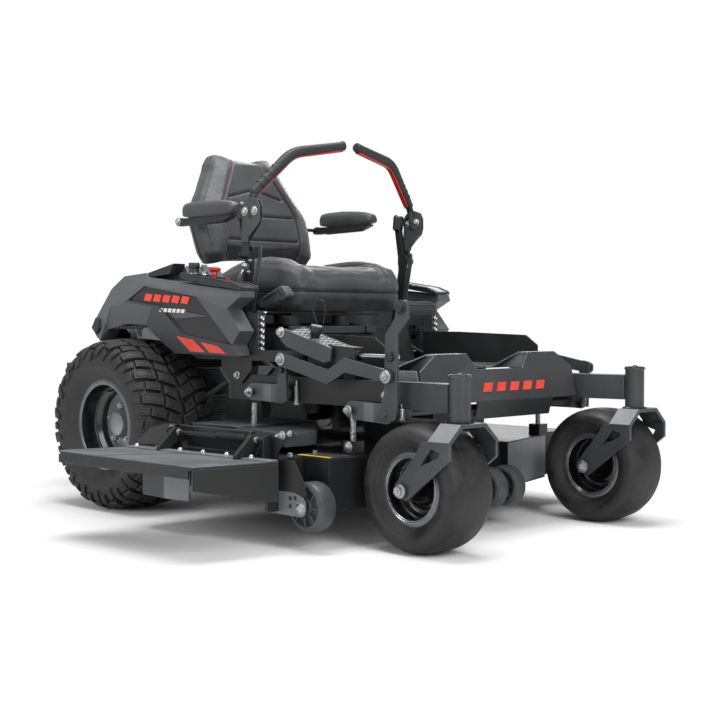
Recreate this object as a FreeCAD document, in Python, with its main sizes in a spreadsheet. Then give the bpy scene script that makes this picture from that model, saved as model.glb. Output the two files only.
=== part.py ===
import FreeCAD, Part
import os
import Sketcher
from FreeCAD import Placement, Rotation, Vector
from math import atan2, cos, degrees, hypot, sin, tan

# Zero turn mower. +X points to the front, +Y to the operator's left, +Z up.
# Outlines are laid out from the middle of the rear axle on the ground line, and every
# sub-part is then moved so that the origin is the middle of the footprint, at the ground.

os.makedirs("parts", exist_ok=True)
doc = FreeCAD.newDocument("zero_turn_mower")

driving = {
    "rearEnd": -600.0,
    "frontEnd": 1363.0,
    "chuteEdge": -915.0,
    "leftEdge": 640.0,
    "rearTireRadius": 263.5,
    "rearTireHalf": 137.0,
    "rearTrackHalf": 426.0,
    "rearAxleRadius": 15.0,
    "frontTireRadius": 165.0,
    "frontTireHalf": 81.0,
    "frontTrackHalf": 385.0,
    "casterTrail": 107.0,
    "casterPivotX": 1305.0,
    "casterTubeRadius": 27.0,
    "casterTubeLow": 336.0,
    "casterTubeTall": 109.0,
    "stemRadius": 12.7,
    "runningGap": 0.06,
    "wheelBoltRadius": 8.0,
    "railLow": 358.0,
    "railTall": 70.0,
    "railWide": 50.0,
    "railWall": 5.0,
    "floorTop": 451.0,
    "sheetThick": 3.0,
    "plateThick": 8.0,
    "deckTop": 233.0,
    "deckDeep": 133.0,
    "deckWall": 4.0,
    "bladeRadius": 220.0,
    "bladeWide": 60.0,
    "bladeThick": 6.0,
    "spindleRadius": 12.5,
    "sideSpindleY": 400.0,
    "scalpRadius": 63.5,
    "scalpWide": 58.0,
    "rollerRadius": 58.0,
    "rollerWide": 50.0,
    "hingeRodRadius": 6.0,
    "liftShaftRadius": 10.0,
    "rearShaftRadius": 12.0,
    "crankTall": 50.0,
    "crankThick": 10.0,
    "leverRadius": 11.0,
    "seatHalf": 250.0,
    "hitchHoleRadius": 9.75,
}

sheet = doc.addObject("Spreadsheet::Sheet", "Dims")
for row, (alias, size) in enumerate(driving.items(), start=1):
    sheet.set(f"A{row}", alias)
    sheet.set(f"B{row}", str(size))
    sheet.setAlias(f"B{row}", alias)
doc.recompute()


def dim(alias):
    return float(sheet.get(alias))


origin = Vector(
    -(dim("rearEnd") + dim("frontEnd")) / 2,
    -(dim("chuteEdge") + dim("leftEdge")) / 2,
    0,
)
nodes = []
serial = iter(range(1, 2000))
X, Y, Z = Vector(1, 0, 0), Vector(0, 1, 0), Vector(0, 0, 1)


def bind(thing, **sizes):
    """Give sizes to a document object: text is an expression on the sheet."""
    for name, value in sizes.items():
        if isinstance(value, str):
            thing.setExpression(name, value)
        else:
            setattr(thing, name, value)
    return thing


def temp(stem):
    return f"{stem}_{next(serial)}"


def block(low, high):
    """Box between two corners."""
    thing = doc.addObject("Part::Box", temp("block"))
    bind(thing, Length=high[0] - low[0], Width=high[1] - low[1], Height=high[2] - low[2])
    thing.Placement.Base = Vector(*low)
    return thing


def rod(radius, start, end):
    """Cylinder from start to end."""
    a, b = Vector(*start), Vector(*end)
    thing = doc.addObject("Part::Cylinder", temp("rod"))
    bind(thing, Radius=radius, Height=(b - a).Length)
    thing.Placement = Placement(a, Rotation(Z, b - a))
    return thing


def drawOutline(sketch, points):
    """Closed outline. A third value on a point rounds its corner by that radius."""
    count = len(points)
    runs = []
    for i, point in enumerate(points):
        here = Vector(point[0], point[1], 0)
        radius = point[2] if len(point) > 2 else 0
        if not radius:
            runs.append((here, None, here))
            continue
        before = Vector(points[i - 1][0], points[i - 1][1], 0) - here
        after = Vector(points[(i + 1) % count][0], points[(i + 1) % count][1], 0) - here
        before.normalize()
        after.normalize()
        half = before.getAngle(after) / 2
        reach = radius / tan(half)
        bisector = (before + after).normalize()
        centre = here + bisector * (radius / sin(half))
        runs.append((here + before * reach, centre - bisector * radius, here + after * reach))
    for i, (start, middle, end) in enumerate(runs):
        if middle is not None:
            sketch.addGeometry(Part.Arc(start, middle, end), False)
        following = runs[(i + 1) % count][0]
        if (following - end).Length > 1e-4:
            sketch.addGeometry(Part.LineSegment(end, following), False)


def bodyWith(plane, points, holes=()):
    """Body with one sketch on an origin plane. Holes are (x, y, radius on the sheet)."""
    body = doc.addObject("PartDesign::Body", temp("body"))
    sketch = body.newObject("Sketcher::SketchObject", temp("sketch"))
    datum = [f for f in body.Origin.OriginFeatures if f.Role == plane + "_Plane"][0]
    sketch.AttachmentSupport = [(datum, "")]
    sketch.MapMode = "FlatFace"
    drawOutline(sketch, points)
    for x, y, radius in holes:
        value = dim(radius[5:]) if isinstance(radius, str) else radius
        index = sketch.addGeometry(Part.Circle(Vector(x, y, 0), Z, value), False)
        rule = sketch.addConstraint(Sketcher.Constraint("Radius", index, value))
        if isinstance(radius, str):
            sketch.setExpression(f"Constraints[{rule}]", radius)
    return body, sketch


def slab(plane, points, thick, at=0.0, holes=()):
    """Outline on XY, XZ or YZ, padded evenly to both sides of the plane at that place."""
    body, sketch = bodyWith(plane, points, holes)
    pad = body.newObject("PartDesign::Pad", temp("pad"))
    pad.Profile = sketch
    pad.Midplane = True
    bind(pad, Length=thick)
    body.Tip = pad
    body.Placement.Base = {"XY": Z, "XZ": Y, "YZ": X}[plane] * at
    return body


def turned(plane, points, axis, place=(0, 0, 0)):
    """Outline turned a full circle about one axis of its sketch."""
    body, sketch = bodyWith(plane, points)
    spin = body.newObject("PartDesign::Revolution", temp("spin"))
    spin.Profile = sketch
    spin.ReferenceAxis = (sketch, [axis])
    spin.Angle = 360
    body.Tip = spin
    body.Placement.Base = Vector(*place)
    return body


def fused(*pieces):
    thing = doc.addObject("Part::MultiFuse", temp("fuse"))
    thing.Shapes = list(pieces)
    return thing


def grouped(*pieces):
    """Separate solids that belong to one sub-part."""
    thing = doc.addObject("Part::Compound", temp("group"))
    thing.Links = list(pieces)
    return thing


def cut(base, *tools):
    for tool in tools:
        thing = doc.addObject("Part::Cut", temp("cut"))
        thing.Base = base
        thing.Tool = tool
        base = thing
    return base


def common(*pieces):
    thing = doc.addObject("Part::MultiCommon", temp("common"))
    thing.Shapes = list(pieces)
    return thing


def shaped(shape):
    thing = doc.addObject("Part::Feature", temp("shape"))
    thing.Shape = shape
    return thing


def node(label, thing):
    thing.Label = label
    place = thing.Placement
    thing.Placement = Placement(place.Base + origin, place.Rotation)
    nodes.append(thing)
    return thing


def sideName(side):
    return "left" if side > 0 else "right"


def bent(points, radius, bend):
    """Round bar along straight runs joined by tangent arcs."""
    spots = [Vector(*p) for p in points]
    edges = []
    last = spots[0]
    for i in range(1, len(spots) - 1):
        back = (spots[i - 1] - spots[i]).normalize()
        ahead = (spots[i + 1] - spots[i]).normalize()
        half = back.getAngle(ahead) / 2
        reach = bend / tan(half)
        bisector = (back + ahead).normalize()
        middle = spots[i] + bisector * (bend / sin(half) - bend)
        start, end = spots[i] + back * reach, spots[i] + ahead * reach
        edges.append(Part.LineSegment(last, start).toShape())
        edges.append(Part.Arc(start, middle, end).toShape())
        last = end
    edges.append(Part.LineSegment(last, spots[-1]).toShape())
    ring = Part.Wire([Part.Circle(spots[0], spots[1] - spots[0], radius).toShape()])
    return shaped(Part.Wire(edges).makePipeShell([ring], True, False))


def inset(points, distance):
    """Polygon moved inwards by the wall, for outlines that run anticlockwise."""
    moved = []
    count = len(points)
    for i in range(count):
        a, b, c = points[i - 1], points[i], points[(i + 1) % count]
        one, two = hypot(b[0] - a[0], b[1] - a[1]), hypot(c[0] - b[0], c[1] - b[1])
        n1 = (-(b[1] - a[1]) / one, (b[0] - a[0]) / one)
        n2 = (-(c[1] - b[1]) / two, (c[0] - b[0]) / two)
        scale = distance / (1 + n1[0] * n2[0] + n1[1] * n2[1])
        moved.append((b[0] + (n1[0] + n2[0]) * scale, b[1] + (n1[1] + n2[1]) * scale))
    return moved


def flipped(points, side):
    """Outline on XY for one side of the machine, from its distances to the middle."""
    return [(p[0], p[1] * side) + tuple(p[2:]) for p in points]


# ---------------------------------------------------------------- wheels
def tireOutline(half, radius, bead, rimHalf, flange, wall):
    """Section of a tire on a plane through its axis: outside, then back along the inside."""
    crown = radius - bead
    outer = [
        (-rimHalf, bead),
        (-rimHalf, flange + 1),
        (-rimHalf - 6, flange + 4),
        (-half, bead + 0.42 * crown),
        (-half, bead + 0.66 * crown),
        (-half * 0.93, bead + 0.85 * crown),
        (-half * 0.70, bead + 0.96 * crown),
        (0, radius),
    ]
    inner = [
        (0, radius - wall),
        (-half * 0.66, radius - wall * 1.5),
        (-half + wall, bead + 0.64 * crown),
        (-half + wall, bead + 0.44 * crown),
        (-rimHalf + wall, bead + 0.12 * crown),
        (-rimHalf + wall, bead),
    ]
    rightOuter = [(-y, r) for y, r in reversed(outer[:-1])]
    rightInner = [(-y, r) for y, r in reversed(inner[1:])]
    return outer + rightOuter + rightInner + list(inner)


def wheelPlace(x, y, z, side):
    turn = Rotation(Z, 180 if side > 0 else 0)
    return Placement(Vector(x, y, z), turn)


def rearWheel(side):
    radius, track = dim("rearTireRadius"), dim("rearTrackHalf")
    place = wheelPlace(0, side * track, radius, side)
    tire = turned("YZ", tireOutline(dim("rearTireHalf"), radius, 127, 98, 141, 14), "H_Axis")
    tire.Placement = place
    node("rear_tire_" + sideName(side), tire)
    rim = turned(
        "YZ",
        [
            (-103, 141),
            (-98.3, 141),
            (-98.3, 126.7),
            (-50, 126.7),
            (-38, 108),
            (34, 108),
            (46, 126.7),
            (98.3, 126.7),
            (98.3, 141),
            (103, 141),
            (103, 123),
            (48, 123),
            (36, 104),
            (20, 104),
            (20, 20),
            (12, 20),
            (12, 70),
            (2, 84),
            (2, 104),
            (-40, 104),
            (-52, 123),
            (-103, 123),
        ],
        "H_Axis",
    )
    shaftLine = [(-14, 0), (-14, 19), (20.3, 19), (20.3, 60), (31, 60), (31, 15), (176, 15), (176, 0)]
    hub = turned("YZ", shaftLine, "H_Axis")
    wheel = grouped(rim, hub)
    wheel.Placement = place
    node("rear_rim_" + sideName(side), wheel)


def frontWheel(side):
    radius = dim("frontTireRadius")
    x = dim("casterPivotX") - dim("casterTrail")
    place = wheelPlace(x, side * dim("frontTrackHalf"), radius, side)
    tire = turned("YZ", tireOutline(dim("frontTireHalf"), radius, 82, 55, 93, 9), "H_Axis")
    tire.Placement = place
    node("front_tire_" + sideName(side), tire)
    bore = dim("wheelBoltRadius") + dim("runningGap")
    rim = turned(
        "YZ",
        [
            (-60, 93),
            (-55.3, 93),
            (-55.3, 81.7),
            (55.3, 81.7),
            (55.3, 93),
            (60, 93),
            (60, 78),
            (14, 78),
            (4, 30),
            (76, 24),
            (76, bore),
            (-76, bore),
            (-76, 24),
            (-4, 30),
            (6, 78),
            (-60, 78),
        ],
        "H_Axis",
    )
    rim.Placement = place
    node("front_rim_" + sideName(side), rim)


def casterFork(side):
    pivot, track = dim("casterPivotX"), side * dim("frontTrackHalf")
    legOuter, legThick, crown = 93, 9, 45
    top, shoulder = 333, 290
    hat = [
        (-legOuter, shoulder),
        (-crown, top),
        (crown, top),
        (legOuter, shoulder),
        (legOuter - legThick - 3, shoulder),
        (crown - 4, top - legThick),
        (-crown + 4, top - legThick),
        (-legOuter + legThick + 3, shoulder),
    ]
    crownBar = slab("YZ", [(y + track, z) for y, z in hat], 68, 1316)
    leg = [(1262, 290), (1350, 290), (1350, 249), (1212, 141, 6), (1178, 150, 6), (1174, 177), (1243, 260)]
    window = [(1291, 275), (1321, 266), (1314, 254), (1256, 229)]
    pieces = [crownBar, rod("Dims.stemRadius", (pivot, track, 324), (pivot, track, 438))]
    for edge in (-1, 1):
        y = track + edge * (legOuter - legThick / 2)
        plate = slab("XZ", leg, legThick, y)
        pieces.append(cut(plate, slab("XZ", window, legThick * 2, y)))
    fork = fused(*pieces)
    axleX = pivot - dim("casterTrail")
    axleZ = dim("frontTireRadius")
    axle = rod("Dims.wheelBoltRadius", (axleX, track - 97, axleZ), (axleX, track + 97, axleZ))
    heads = [rod(13, (axleX, track + e * 93, axleZ), (axleX, track + e * 102, axleZ)) for e in (-1, 1)]
    node("caster_fork_" + sideName(side), fused(fork, axle, *heads))


# ---------------------------------------------------------------- chassis
def liftBearing(side):
    """Block under a rail that carries the front lift shaft."""
    outline = [(1068, 360), (1116, 360), (1108, 328, 6), (1076, 328, 6)]
    return slab("XZ", outline, 30, side * 365)


def leverStand(side):
    """Upright welded to a rail, with the cross pin that a lap bar turns on."""
    post = [(392, 424), (446, 424), (438, 572, 16), (398, 572, 16)]
    plate = slab("XZ", post, 10, side * 315)
    low, high = sorted((side * 310, side * 352))
    foot = block((392, low, 422), (446, high, 434))
    pin = rod(8, (418, side * 310, 551), (418, side * 344, 551))
    return fused(plate, foot, pin)


def frameRail(side):
    wide, low, tall, wall = dim("railWide"), dim("railLow"), dim("railTall"), dim("railWall")
    rear, front = -540, 1285
    outer = [(rear, 240), (300, 240), (430, 390), (1160, 390), (front, 410)]
    inner = [(front, 360), (1160, 340), (451, 340), (321, 190), (rear, 190)]
    level = low + tall / 2
    bar = slab("XY", flipped(outer + inner, side), "Dims.railTall", level)
    hollowOuter = [(rear + 6, 235), (302, 235), (432, 385), (1161, 385), (front - 26, 400)]
    hollowInner = [(front - 26, 362), (1161, 345), (449, 345), (319, 195), (rear + 6, 195)]
    hollow = slab("XY", flipped(hollowOuter + hollowInner, side), tall - 2 * wall, level)
    pivot, track = dim("casterPivotX"), side * dim("frontTrackHalf")
    tubeLow, tubeTall = dim("casterTubeLow"), dim("casterTubeTall")
    tube = rod("Dims.casterTubeRadius", (pivot, track, tubeLow), (pivot, track, tubeLow + tubeTall))
    cap = rod(30, (pivot, track, tubeLow + tubeTall), (pivot, track, tubeLow + tubeTall + 4))
    nipple = rod(4, (pivot, track, tubeLow + tubeTall + 4), (pivot, track, tubeLow + tubeTall + 11))
    rail = fused(cut(bar, hollow), tube, cap, nipple, liftBearing(side), leverStand(side))
    bore = rod("Dims.stemRadius + Dims.runningGap", (pivot, track, tubeLow - 1), (pivot, track, 440))
    shaft = rod("Dims.rearShaftRadius + Dims.runningGap", (697, side * 330, 382), (697, side * 395, 382))
    drill = rod("Dims.liftShaftRadius + Dims.runningGap", (1092, side * 330, 346), (1092, side * 390, 346))
    node("frame_rail_" + sideName(side), cut(rail, bore, shaft, drill))


def crossMembers():
    front = block((1060, -339.8, 362), (1110, 339.8, 424))
    middle = block((470, -339.8, 362), (520, 339.8, 424))
    rear = block((-548, -240, 340), (-540.2, 240, 440))
    hole = (-574, 0, "Dims.hitchHoleRadius")
    tongue = [(-600, -40, 18), (-546, -55), (-546, 55), (-600, 40, 18)]
    hitch = slab("XY", tongue, 10, 352, [hole])
    node("cross_members", grouped(front, middle, fused(rear, hitch)))


def enginePlate():
    outline = [(-530, -238), (-30, -238), (-30, 238), (-530, 238)]
    node("engine_plate", slab("XY", outline, 6, 431.2, [(-250, 0, 34.0)]))


def sideSills():
    """Dark sills below the fenders, each with a bolted hanger plate."""
    pieces = []
    for side in (-1, 1):
        outline = [(262, 486), (533, 480.6), (560, 500), (740, 500), (759, 488), (740, 470), (300, 470)]
        pieces.append(slab("XZ", outline, 14, side * 396))
        trapezoid = [(407, 469.8), (407, 444), (452, 404), (497, 404), (541, 444), (541, 469.8)]
        pieces.append(slab("XZ", trapezoid, 6, side * 396, [(478, 427, 8.0)]))
    return pieces


def floorPan():
    """Foot floor on the rails, with a kick panel up each side."""
    top, thick = dim("floorTop"), dim("sheetThick")
    outline = [(545, -326), (1006, -326), (1006, 326), (545, 326)]
    floor = slab("XY", outline, "Dims.sheetThick", top - thick / 2)
    posts = []
    for side in (-1, 1):
        low, high = sorted((side * 345, side * 385))
        for x in (600, 900):
            posts.append(block((x, low, 428), (x + 40, high, 448)))
    panels = []
    kick = [(545, 448), (1004, 448), (1004, 510), (960, 540, 10), (700, 548), (545, 548)]
    for side in (-1, 1):
        panels.append(slab("XZ", kick, "Dims.sheetThick", side * 327.7))
    shelf = []
    for side in (-1, 1):
        low, high = sorted((side * 326.2, side * 388))
        shelf.append(block((560, low, 448.2), (980, high, 451)))
    node("floor_pan", grouped(floor, *panels, *shelf, *posts, *sideSills()))


def frontGuard():
    """Folded front plate with two raised foot rests and a lip below."""
    skin = [
        (1128, 318),
        (1142, 366),
        (1115, 495),
        (1080, 495),
        (1009, 453),
        (1012, 449),
        (1082, 490),
        (1111, 490),
        (1137.6, 366),
        (1123.8, 318),
    ]
    whole = slab("XZ", skin, 660)
    front = [
        (-330, 366),
        (-120, 366),
        (-105, 316),
        (190, 316),
        (215, 366),
        (330, 366),
        (330, 451),
        (256, 496),
        (134, 496),
        (99, 452),
        (-99, 452),
        (-134, 496),
        (-256, 496),
        (-330, 451),
    ]
    shape = common(whole, slab("YZ", front, 200, 1060))
    rodUnder = rod(7, (1112, -130, 330), (1112, 180, 330))
    node("front_guard", grouped(shape, rodUnder))


def seatPlatform():
    inside = [(548, 451.2), (512, 556), (-30, 556), (-30, 434.4)]
    skin = inside + [(-34, 434.4), (-34, 560), (515, 560), (552, 451.2)]
    deckPlate = slab("XZ", skin, 568)
    rails = [block((60, y - 12, 560), (470, y + 12, 568)) for y in (-130, 130)]
    node("seat_platform", grouped(deckPlate, *rails))


def fender(side):
    """Rear fender and side tank: the outline seen from the side, hollow below."""
    outline = [
        (-137, 518),
        (-192, 569),
        (-91, 679),
        (-21, 722),
        (94, 731),
        (234, 758, 8),
        (273, 709),
        (551, 667),
        (551, 647),
        (494, 617),
        (551, 554),
        (515, 515),
        (533, 481),
        (237, 487),
        (150, 540, 20),
        (78, 570),
        (0, 573),
        (-100, 556),
    ]
    outerY, innerY = 452, 392
    main = slab("XZ", outline, outerY - innerY, side * (outerY + innerY) / 2)
    inner = [(-137, 560), (-180, 575), (-88, 672), (-20, 715), (94, 724), (228, 750), (262, 709), (262, 560)]
    step = slab("XZ", inner, innerY - 262, side * (innerY + 262) / 2)
    pieces = [main, step]
    if side > 0:
        pieces.append(rod(30, (120, 330, 715), (120, 330, 741.8)))
    node("fender_" + sideName(side), fused(*pieces))


def consoles():
    """Control panels on top of both fenders."""
    panel = [(276, 709.5), (551, 668), (551, 676), (512, 690), (330, 716), (276, 721)]
    node("consoles", grouped(*[slab("XZ", panel, 70, side * 415) for side in (-1, 1)]))


# ---------------------------------------------------------------- lap bars
def lapBar(side):
    """Drive lever: a flat bar on the cross pin, and above it the part that swings out."""
    def at(x, y, z):
        return (x, side * y, z)

    foot = [(401, 560), (401, 534, 16), (435, 534, 16), (435, 560)]
    bar = foot + [(470, 742), (470, 800, 6), (436, 800, 6), (436, 745)]
    plate = slab("XZ", bar, "Dims.plateThick", side * 330, [(418, 551, 8.06)])
    swingY, swingZ = 345, 775
    ears = []
    for x in (437, 473):
        ear = [(334, swingZ - 11), (356, swingZ - 11, 10.9), (356, swingZ + 11, 10.9), (334, swingZ + 11)]
        ears.append(slab("YZ", [(side * p[0],) + p[1:] for p in ear], 6, x))
    low, high = sorted((side * 326, side * 334))
    backing = block((434, low, swingZ - 11), (476, high, swingZ + 11))
    pin = rod(5, at(434, swingY, swingZ), at(476, swingY, swingZ))
    node("lap_bar_base_" + sideName(side), fused(plate, backing, pin, *ears))

    barrel = rod(9.5, at(440.4, swingY, swingZ), at(469.6, swingY, swingZ))
    knuckle = cut(barrel, rod(5.06, at(430, swingY, swingZ), at(480, swingY, swingZ)))
    low, high = sorted((side * 341, side * 349))
    neck = block((442, low, swingZ + 6), (468, high, 830))
    pear = [(442, 815), (468, 815), (520, 868, 14), (516, 930, 22), (470, 934, 16), (448, 890, 20)]
    head = slab("XZ", pear, "Dims.plateThick", side * 345)
    route = [at(484, 345, 880), at(476, 339, 945), at(509, 212, 1080), at(539, 25, 1113)]
    lever = bent(route, dim("leverRadius"), 38)
    node("lap_bar_" + sideName(side), fused(knuckle, neck, head, lever))


# ---------------------------------------------------------------- seat
def seat():
    pan = block((70, -190, 600), (480, 190, 606))
    slides = []
    for y in (-130, 130):
        slides.append(block((90, y - 16, 568.3), (440, y + 16, 574)))
        for x in (130, 360):
            slides.append(rod(18, (x, y, 574), (x, y, 600)))
    pins = [rod(6, (85, side * 242, 892), (85, side * 303, 892)) for side in (-1, 1)]
    washers = [rod(10, (85, side * 303, 892), (85, side * 307, 892)) for side in (-1, 1)]
    node("seat_frame", grouped(fused(pan, *slides), *[fused(a, b) for a, b in zip(pins, washers)]))
    under = [(80, 617, 30), (540, 617, 40), (560, 680, 30)]
    cushion = under + [(545, 730, 24), (480, 772, 40), (300, 774, 60), (170, 752, 40), (80, 752, 20)]
    node("seat_cushion", slab("XZ", cushion, "2 * Dims.seatHalf"))
    lumbar = [(62, 757, 20), (150, 770, 20), (128, 860), (84, 980)]
    back = lumbar + [(40, 1124, 16), (-10, 1134, 16), (-36, 1080), (20, 870)]
    sheetBack = slab("XZ", back, 482)
    edge = [(239, 750), (241, 930, 40), (205, 1000, 60), (150, 1110, 50), (124, 1136, 10)]
    outline = edge + [(-p[0],) + p[1:] for p in reversed(edge)]
    front = slab("YZ", outline, 400, 60)
    node("seat_back", common(sheetBack, front))


def armrest(side):
    bar = [(70, 880, 8), (300, 880, 4), (300, 899.8, 4), (70, 904, 8)]
    arm = slab("XZ", bar, 12, side * 295, [(85, 892, 6.06)])
    outline = [(118, 900, 10), (350, 900, 10), (350, 936, 12), (320, 949, 12), (118, 946, 14)]
    pad = slab("XZ", outline, 48, side * 295)
    node("armrest_" + sideName(side), grouped(arm, pad))


# ---------------------------------------------------------------- lift linkage
def crankPlate(pivotX, pivotZ, hangerX, hangerZ, side):
    """Flat crank, set over sideways in its middle, with round ends."""
    thick = dim("crankThick")
    y0, y1 = 400, 417
    third = (pivotX - hangerX) / 3
    a, b = hangerX + third * 0.95, pivotX - third * 0.95
    plan = [
        (hangerX - 25, y0 - thick / 2),
        (a, y0 - thick / 2),
        (b, y1 - thick / 2),
        (pivotX + 25, y1 - thick / 2),
        (pivotX + 25, y1 + thick / 2),
        (b, y1 + thick / 2),
        (a, y0 + thick / 2),
        (hangerX - 25, y0 + thick / 2),
    ]
    middle = (pivotZ + hangerZ) / 2
    width = slab("XY", flipped(plan, side), "Dims.crankTall + 10", middle)
    half = dim("crankTall") / 2 - 0.2
    ends = [
        (hangerX - half, hangerZ + half, half),
        (hangerX - half, hangerZ - half, half),
        (pivotX + half, pivotZ - half, half),
        (pivotX + half, pivotZ + half, half),
    ]
    return common(width, slab("XZ", ends, 60, side * 408))


def liftCranks():
    frontParts = [rod("Dims.liftShaftRadius", (1092, -438, 346), (1092, 438, 346))]
    rearParts = [rod("Dims.rearShaftRadius", (697, -430, 382), (697, 430, 382))]
    for side in (-1, 1):
        frontParts.append(crankPlate(1092, 346, 951, 349, side))
        rearParts.append(crankPlate(697, 382, 554, 382, side))
        frontParts.append(rod(9, (951, side * 396, 349), (951, side * 420, 349)))
        rearParts.append(rod(9, (554, side * 396, 382), (554, side * 420, 382)))
        rearArm = [(676, 362), (722, 362), (722, 486, 10), (700, 490, 10), (690, 440)]
        rearParts.append(slab("XZ", rearArm, "Dims.plateThick", side * 427))
        rearParts.append(rod(7, (711, side * 427, 478), (711, side * 449, 478)))
        if side > 0:
            frontArm = [(1074, 326), (1116, 326), (1122, 460, 10), (1090, 466, 10)]
            frontParts.append(slab("XZ", frontArm, "Dims.plateThick", side * 427))
        frontParts.append(rod(7, (1106, side * 427, 442), (1106, side * 449, 442)))
    pedalArm = [
        (1066, 330),
        (1128, 330, 8),
        (1137, 377),
        (1134, 548),
        (1172, 590),
        (1172, 636, 14),
        (1134, 636, 14),
        (1130, 592),
        (1096, 548),
        (1092, 400),
    ]
    frontParts.append(slab("XZ", pedalArm, "Dims.plateThick", -427))
    peg = rod(13.5, (1150, -423, 616), (1150, -315, 616))
    frontParts.append(peg)
    node("front_lift_crank", fused(*frontParts))
    node("rear_lift_crank", fused(*rearParts))


def liftLinks():
    """Z-bent pull bars, one on each side, from the rear crank to the front crank."""
    half = 19
    route = [(711, 478), (895, 435), (958, 468), (1106, 442)]
    upper, lower = [], []
    for i, (x, z) in enumerate(route):
        before = route[max(i - 1, 0)]
        after = route[min(i + 1, len(route) - 1)]
        angle = atan2(after[1] - before[1], after[0] - before[0])
        upper.append((x - half * sin(angle), z + half * cos(angle)))
        lower.append((x + half * sin(angle), z - half * cos(angle)))
    tail = [(route[0][0] - half, route[0][1] - 14, 12), (route[0][0] - half, route[0][1] + 22, 12)]
    nose = [(route[-1][0] + half, route[-1][1] + 14, 12), (route[-1][0] + half, route[-1][1] - 17, 12)]
    outline = tail + upper[1:3] + nose + lower[2:0:-1]
    bars = []
    for side in (-1, 1):
        holes = [(711, 478, 7.06), (1106, 442, 7.06)]
        bars.append(slab("XZ", outline, "Dims.plateThick", side * 437, holes))
    node("lift_links", grouped(*bars))


def heightSelector():
    """Perforated quadrant with a pin, and two guide plates beside the stop rod."""
    face = [(706, 566, 10), (716, 530, 10), (890, 483), (908, 490), (912, 512, 6)]
    bar = slab("XZ", face, 6, -437)
    start, end = Vector(718, -398, 550), Vector(908, -398, 498)
    along = (end - start).normalize()
    normal = Vector(-along.z, 0, along.x)
    plate = [start - normal * 1.5, end - normal * 1.5, end + normal * 1.5, start + normal * 1.5]
    top = slab("XZ", [(p.x, p.z) for p in plate], 70, -398)
    spots = [start + along * (30 + 27 * i) for i in range(6)]
    drills = [rod(7, p - normal * 20, p + normal * 20) for p in spots]
    stand = block((735, -376, 451.2), (743, -368, 538))
    guides = [block((910, y - 1.5, 474), (985, y + 1.5, 508)) for y in (-428, -392)]
    node("height_selector", grouped(bar, cut(top, *drills), stand, *guides))
    home = spots[2]
    pin = rod(6, home - normal * 26, home + normal * 12)
    knob = doc.addObject("Part::Cone", temp("knob"))
    bind(knob, Radius1=12.0, Radius2=18.0, Height=30.0)
    knob.Placement = Placement(home + normal * 10, Rotation(Z, normal))
    node("height_pin", fused(pin, knob))
    shaft = rod(6, (955, -412, 492), (1113, -412, 492))
    eye = rod(9, (1113, -421, 492), (1113, -404, 492))
    node("stop_rod", fused(shaft, eye))


# ---------------------------------------------------------------- cutting deck
deckOutline = [
    (370, -655),
    (905, -655),
    (905, -540),
    (1005, -540),
    (1005, -430),
    (1036, -110),
    (1036, -20),
    (998, -20),
    (998, 155),
    (1027, 155),
    (944, 446),
    (905, 500),
    (905, 640),
    (370, 640),
    (340, 600),
    (340, -600),
]
spindles = {"center": (770, 0), "right": (570, -dim("sideSpindleY")), "left": (570, dim("sideSpindleY"))}


def cuttingDeck():
    top, deep, wall = dim("deckTop"), dim("deckDeep"), dim("deckWall")
    wallTall = deep - wall - 0.2
    wallMiddle = top - deep + wallTall / 2
    walls = []
    inner = inset(deckOutline, wall)
    count = len(deckOutline)
    for i in range(1, count):
        after = (i + 1) % count
        strip = [deckOutline[i], deckOutline[after], inner[after], inner[i]]
        walls.append(slab("XY", strip, wallTall, wallMiddle))
    outletSides = [((372.5, -655), (580, -655 + wall)), ((890, -655), (905 - wall, -655 + wall))]
    for low, high in outletSides:
        walls.append(block((*low, top - deep), (*high, top - wall - 0.2)))
    housings = []
    seats = []
    for x, y in spindles.values():
        outer = rod(52, (x, y, top - 60), (x, y, top + 8))
        bore = rod("Dims.spindleRadius + Dims.runningGap", (x, y, top - 70), (x, y, top + 20))
        housings.append(cut(outer, bore))
        seats.append(rod(52.01, (x, y, top - 70), (x, y, top + 30)))
    topPlate = cut(slab("XY", deckOutline, "Dims.deckWall", top - wall / 2), *seats)
    plates = []
    hinge = [(-612, 233.2), (-664, 233.2), (-664, 290, 8), (-640, 296, 8), (-612, 262)]
    for x in (492, 893):
        plates.append(slab("YZ", hinge, 5, x))
    hingeRod = rod("Dims.hingeRodRadius", (494.6, -655, 281), (890.4, -655, 281))
    brackets = []
    for side in (-1, 1):
        y = side * 400
        brackets.append(block((932, y - 20, 233.2), (972, y + 20, 268)))
        brackets.append(rod(6, (951, y, 268), (951, y, 316)))
        brackets.append(rod(6, (554, y, 290.2), (554, y, 350)))
    node("deck_shell", grouped(topPlate, *walls, *housings))
    node("deck_fittings", grouped(*plates, hingeRod, *brackets, *antiScalpBrackets()))


def beltCovers():
    """Pressed covers over the three spindle pulleys."""
    low, high = dim("deckTop") + 0.2, 290
    outlines = {
        "right": [(400, -500), (658, -500), (658, -249), (590, -200), (400, -200)],
        "center": [(690, -90), (850, -90), (880, -50), (880, 50), (850, 90), (690, 90)],
        "left": [(400, 200), (590, 200), (658, 249), (658, 500), (400, 500)],
    }
    covers = []
    for name, outline in outlines.items():
        outer = slab("XY", outline, high - low, (high + low) / 2)
        covers.append(cut(outer, slab("XY", inset(outline, 3), high - low, (high + low) / 2 - 3)))
    node("belt_covers", grouped(*covers))


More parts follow.
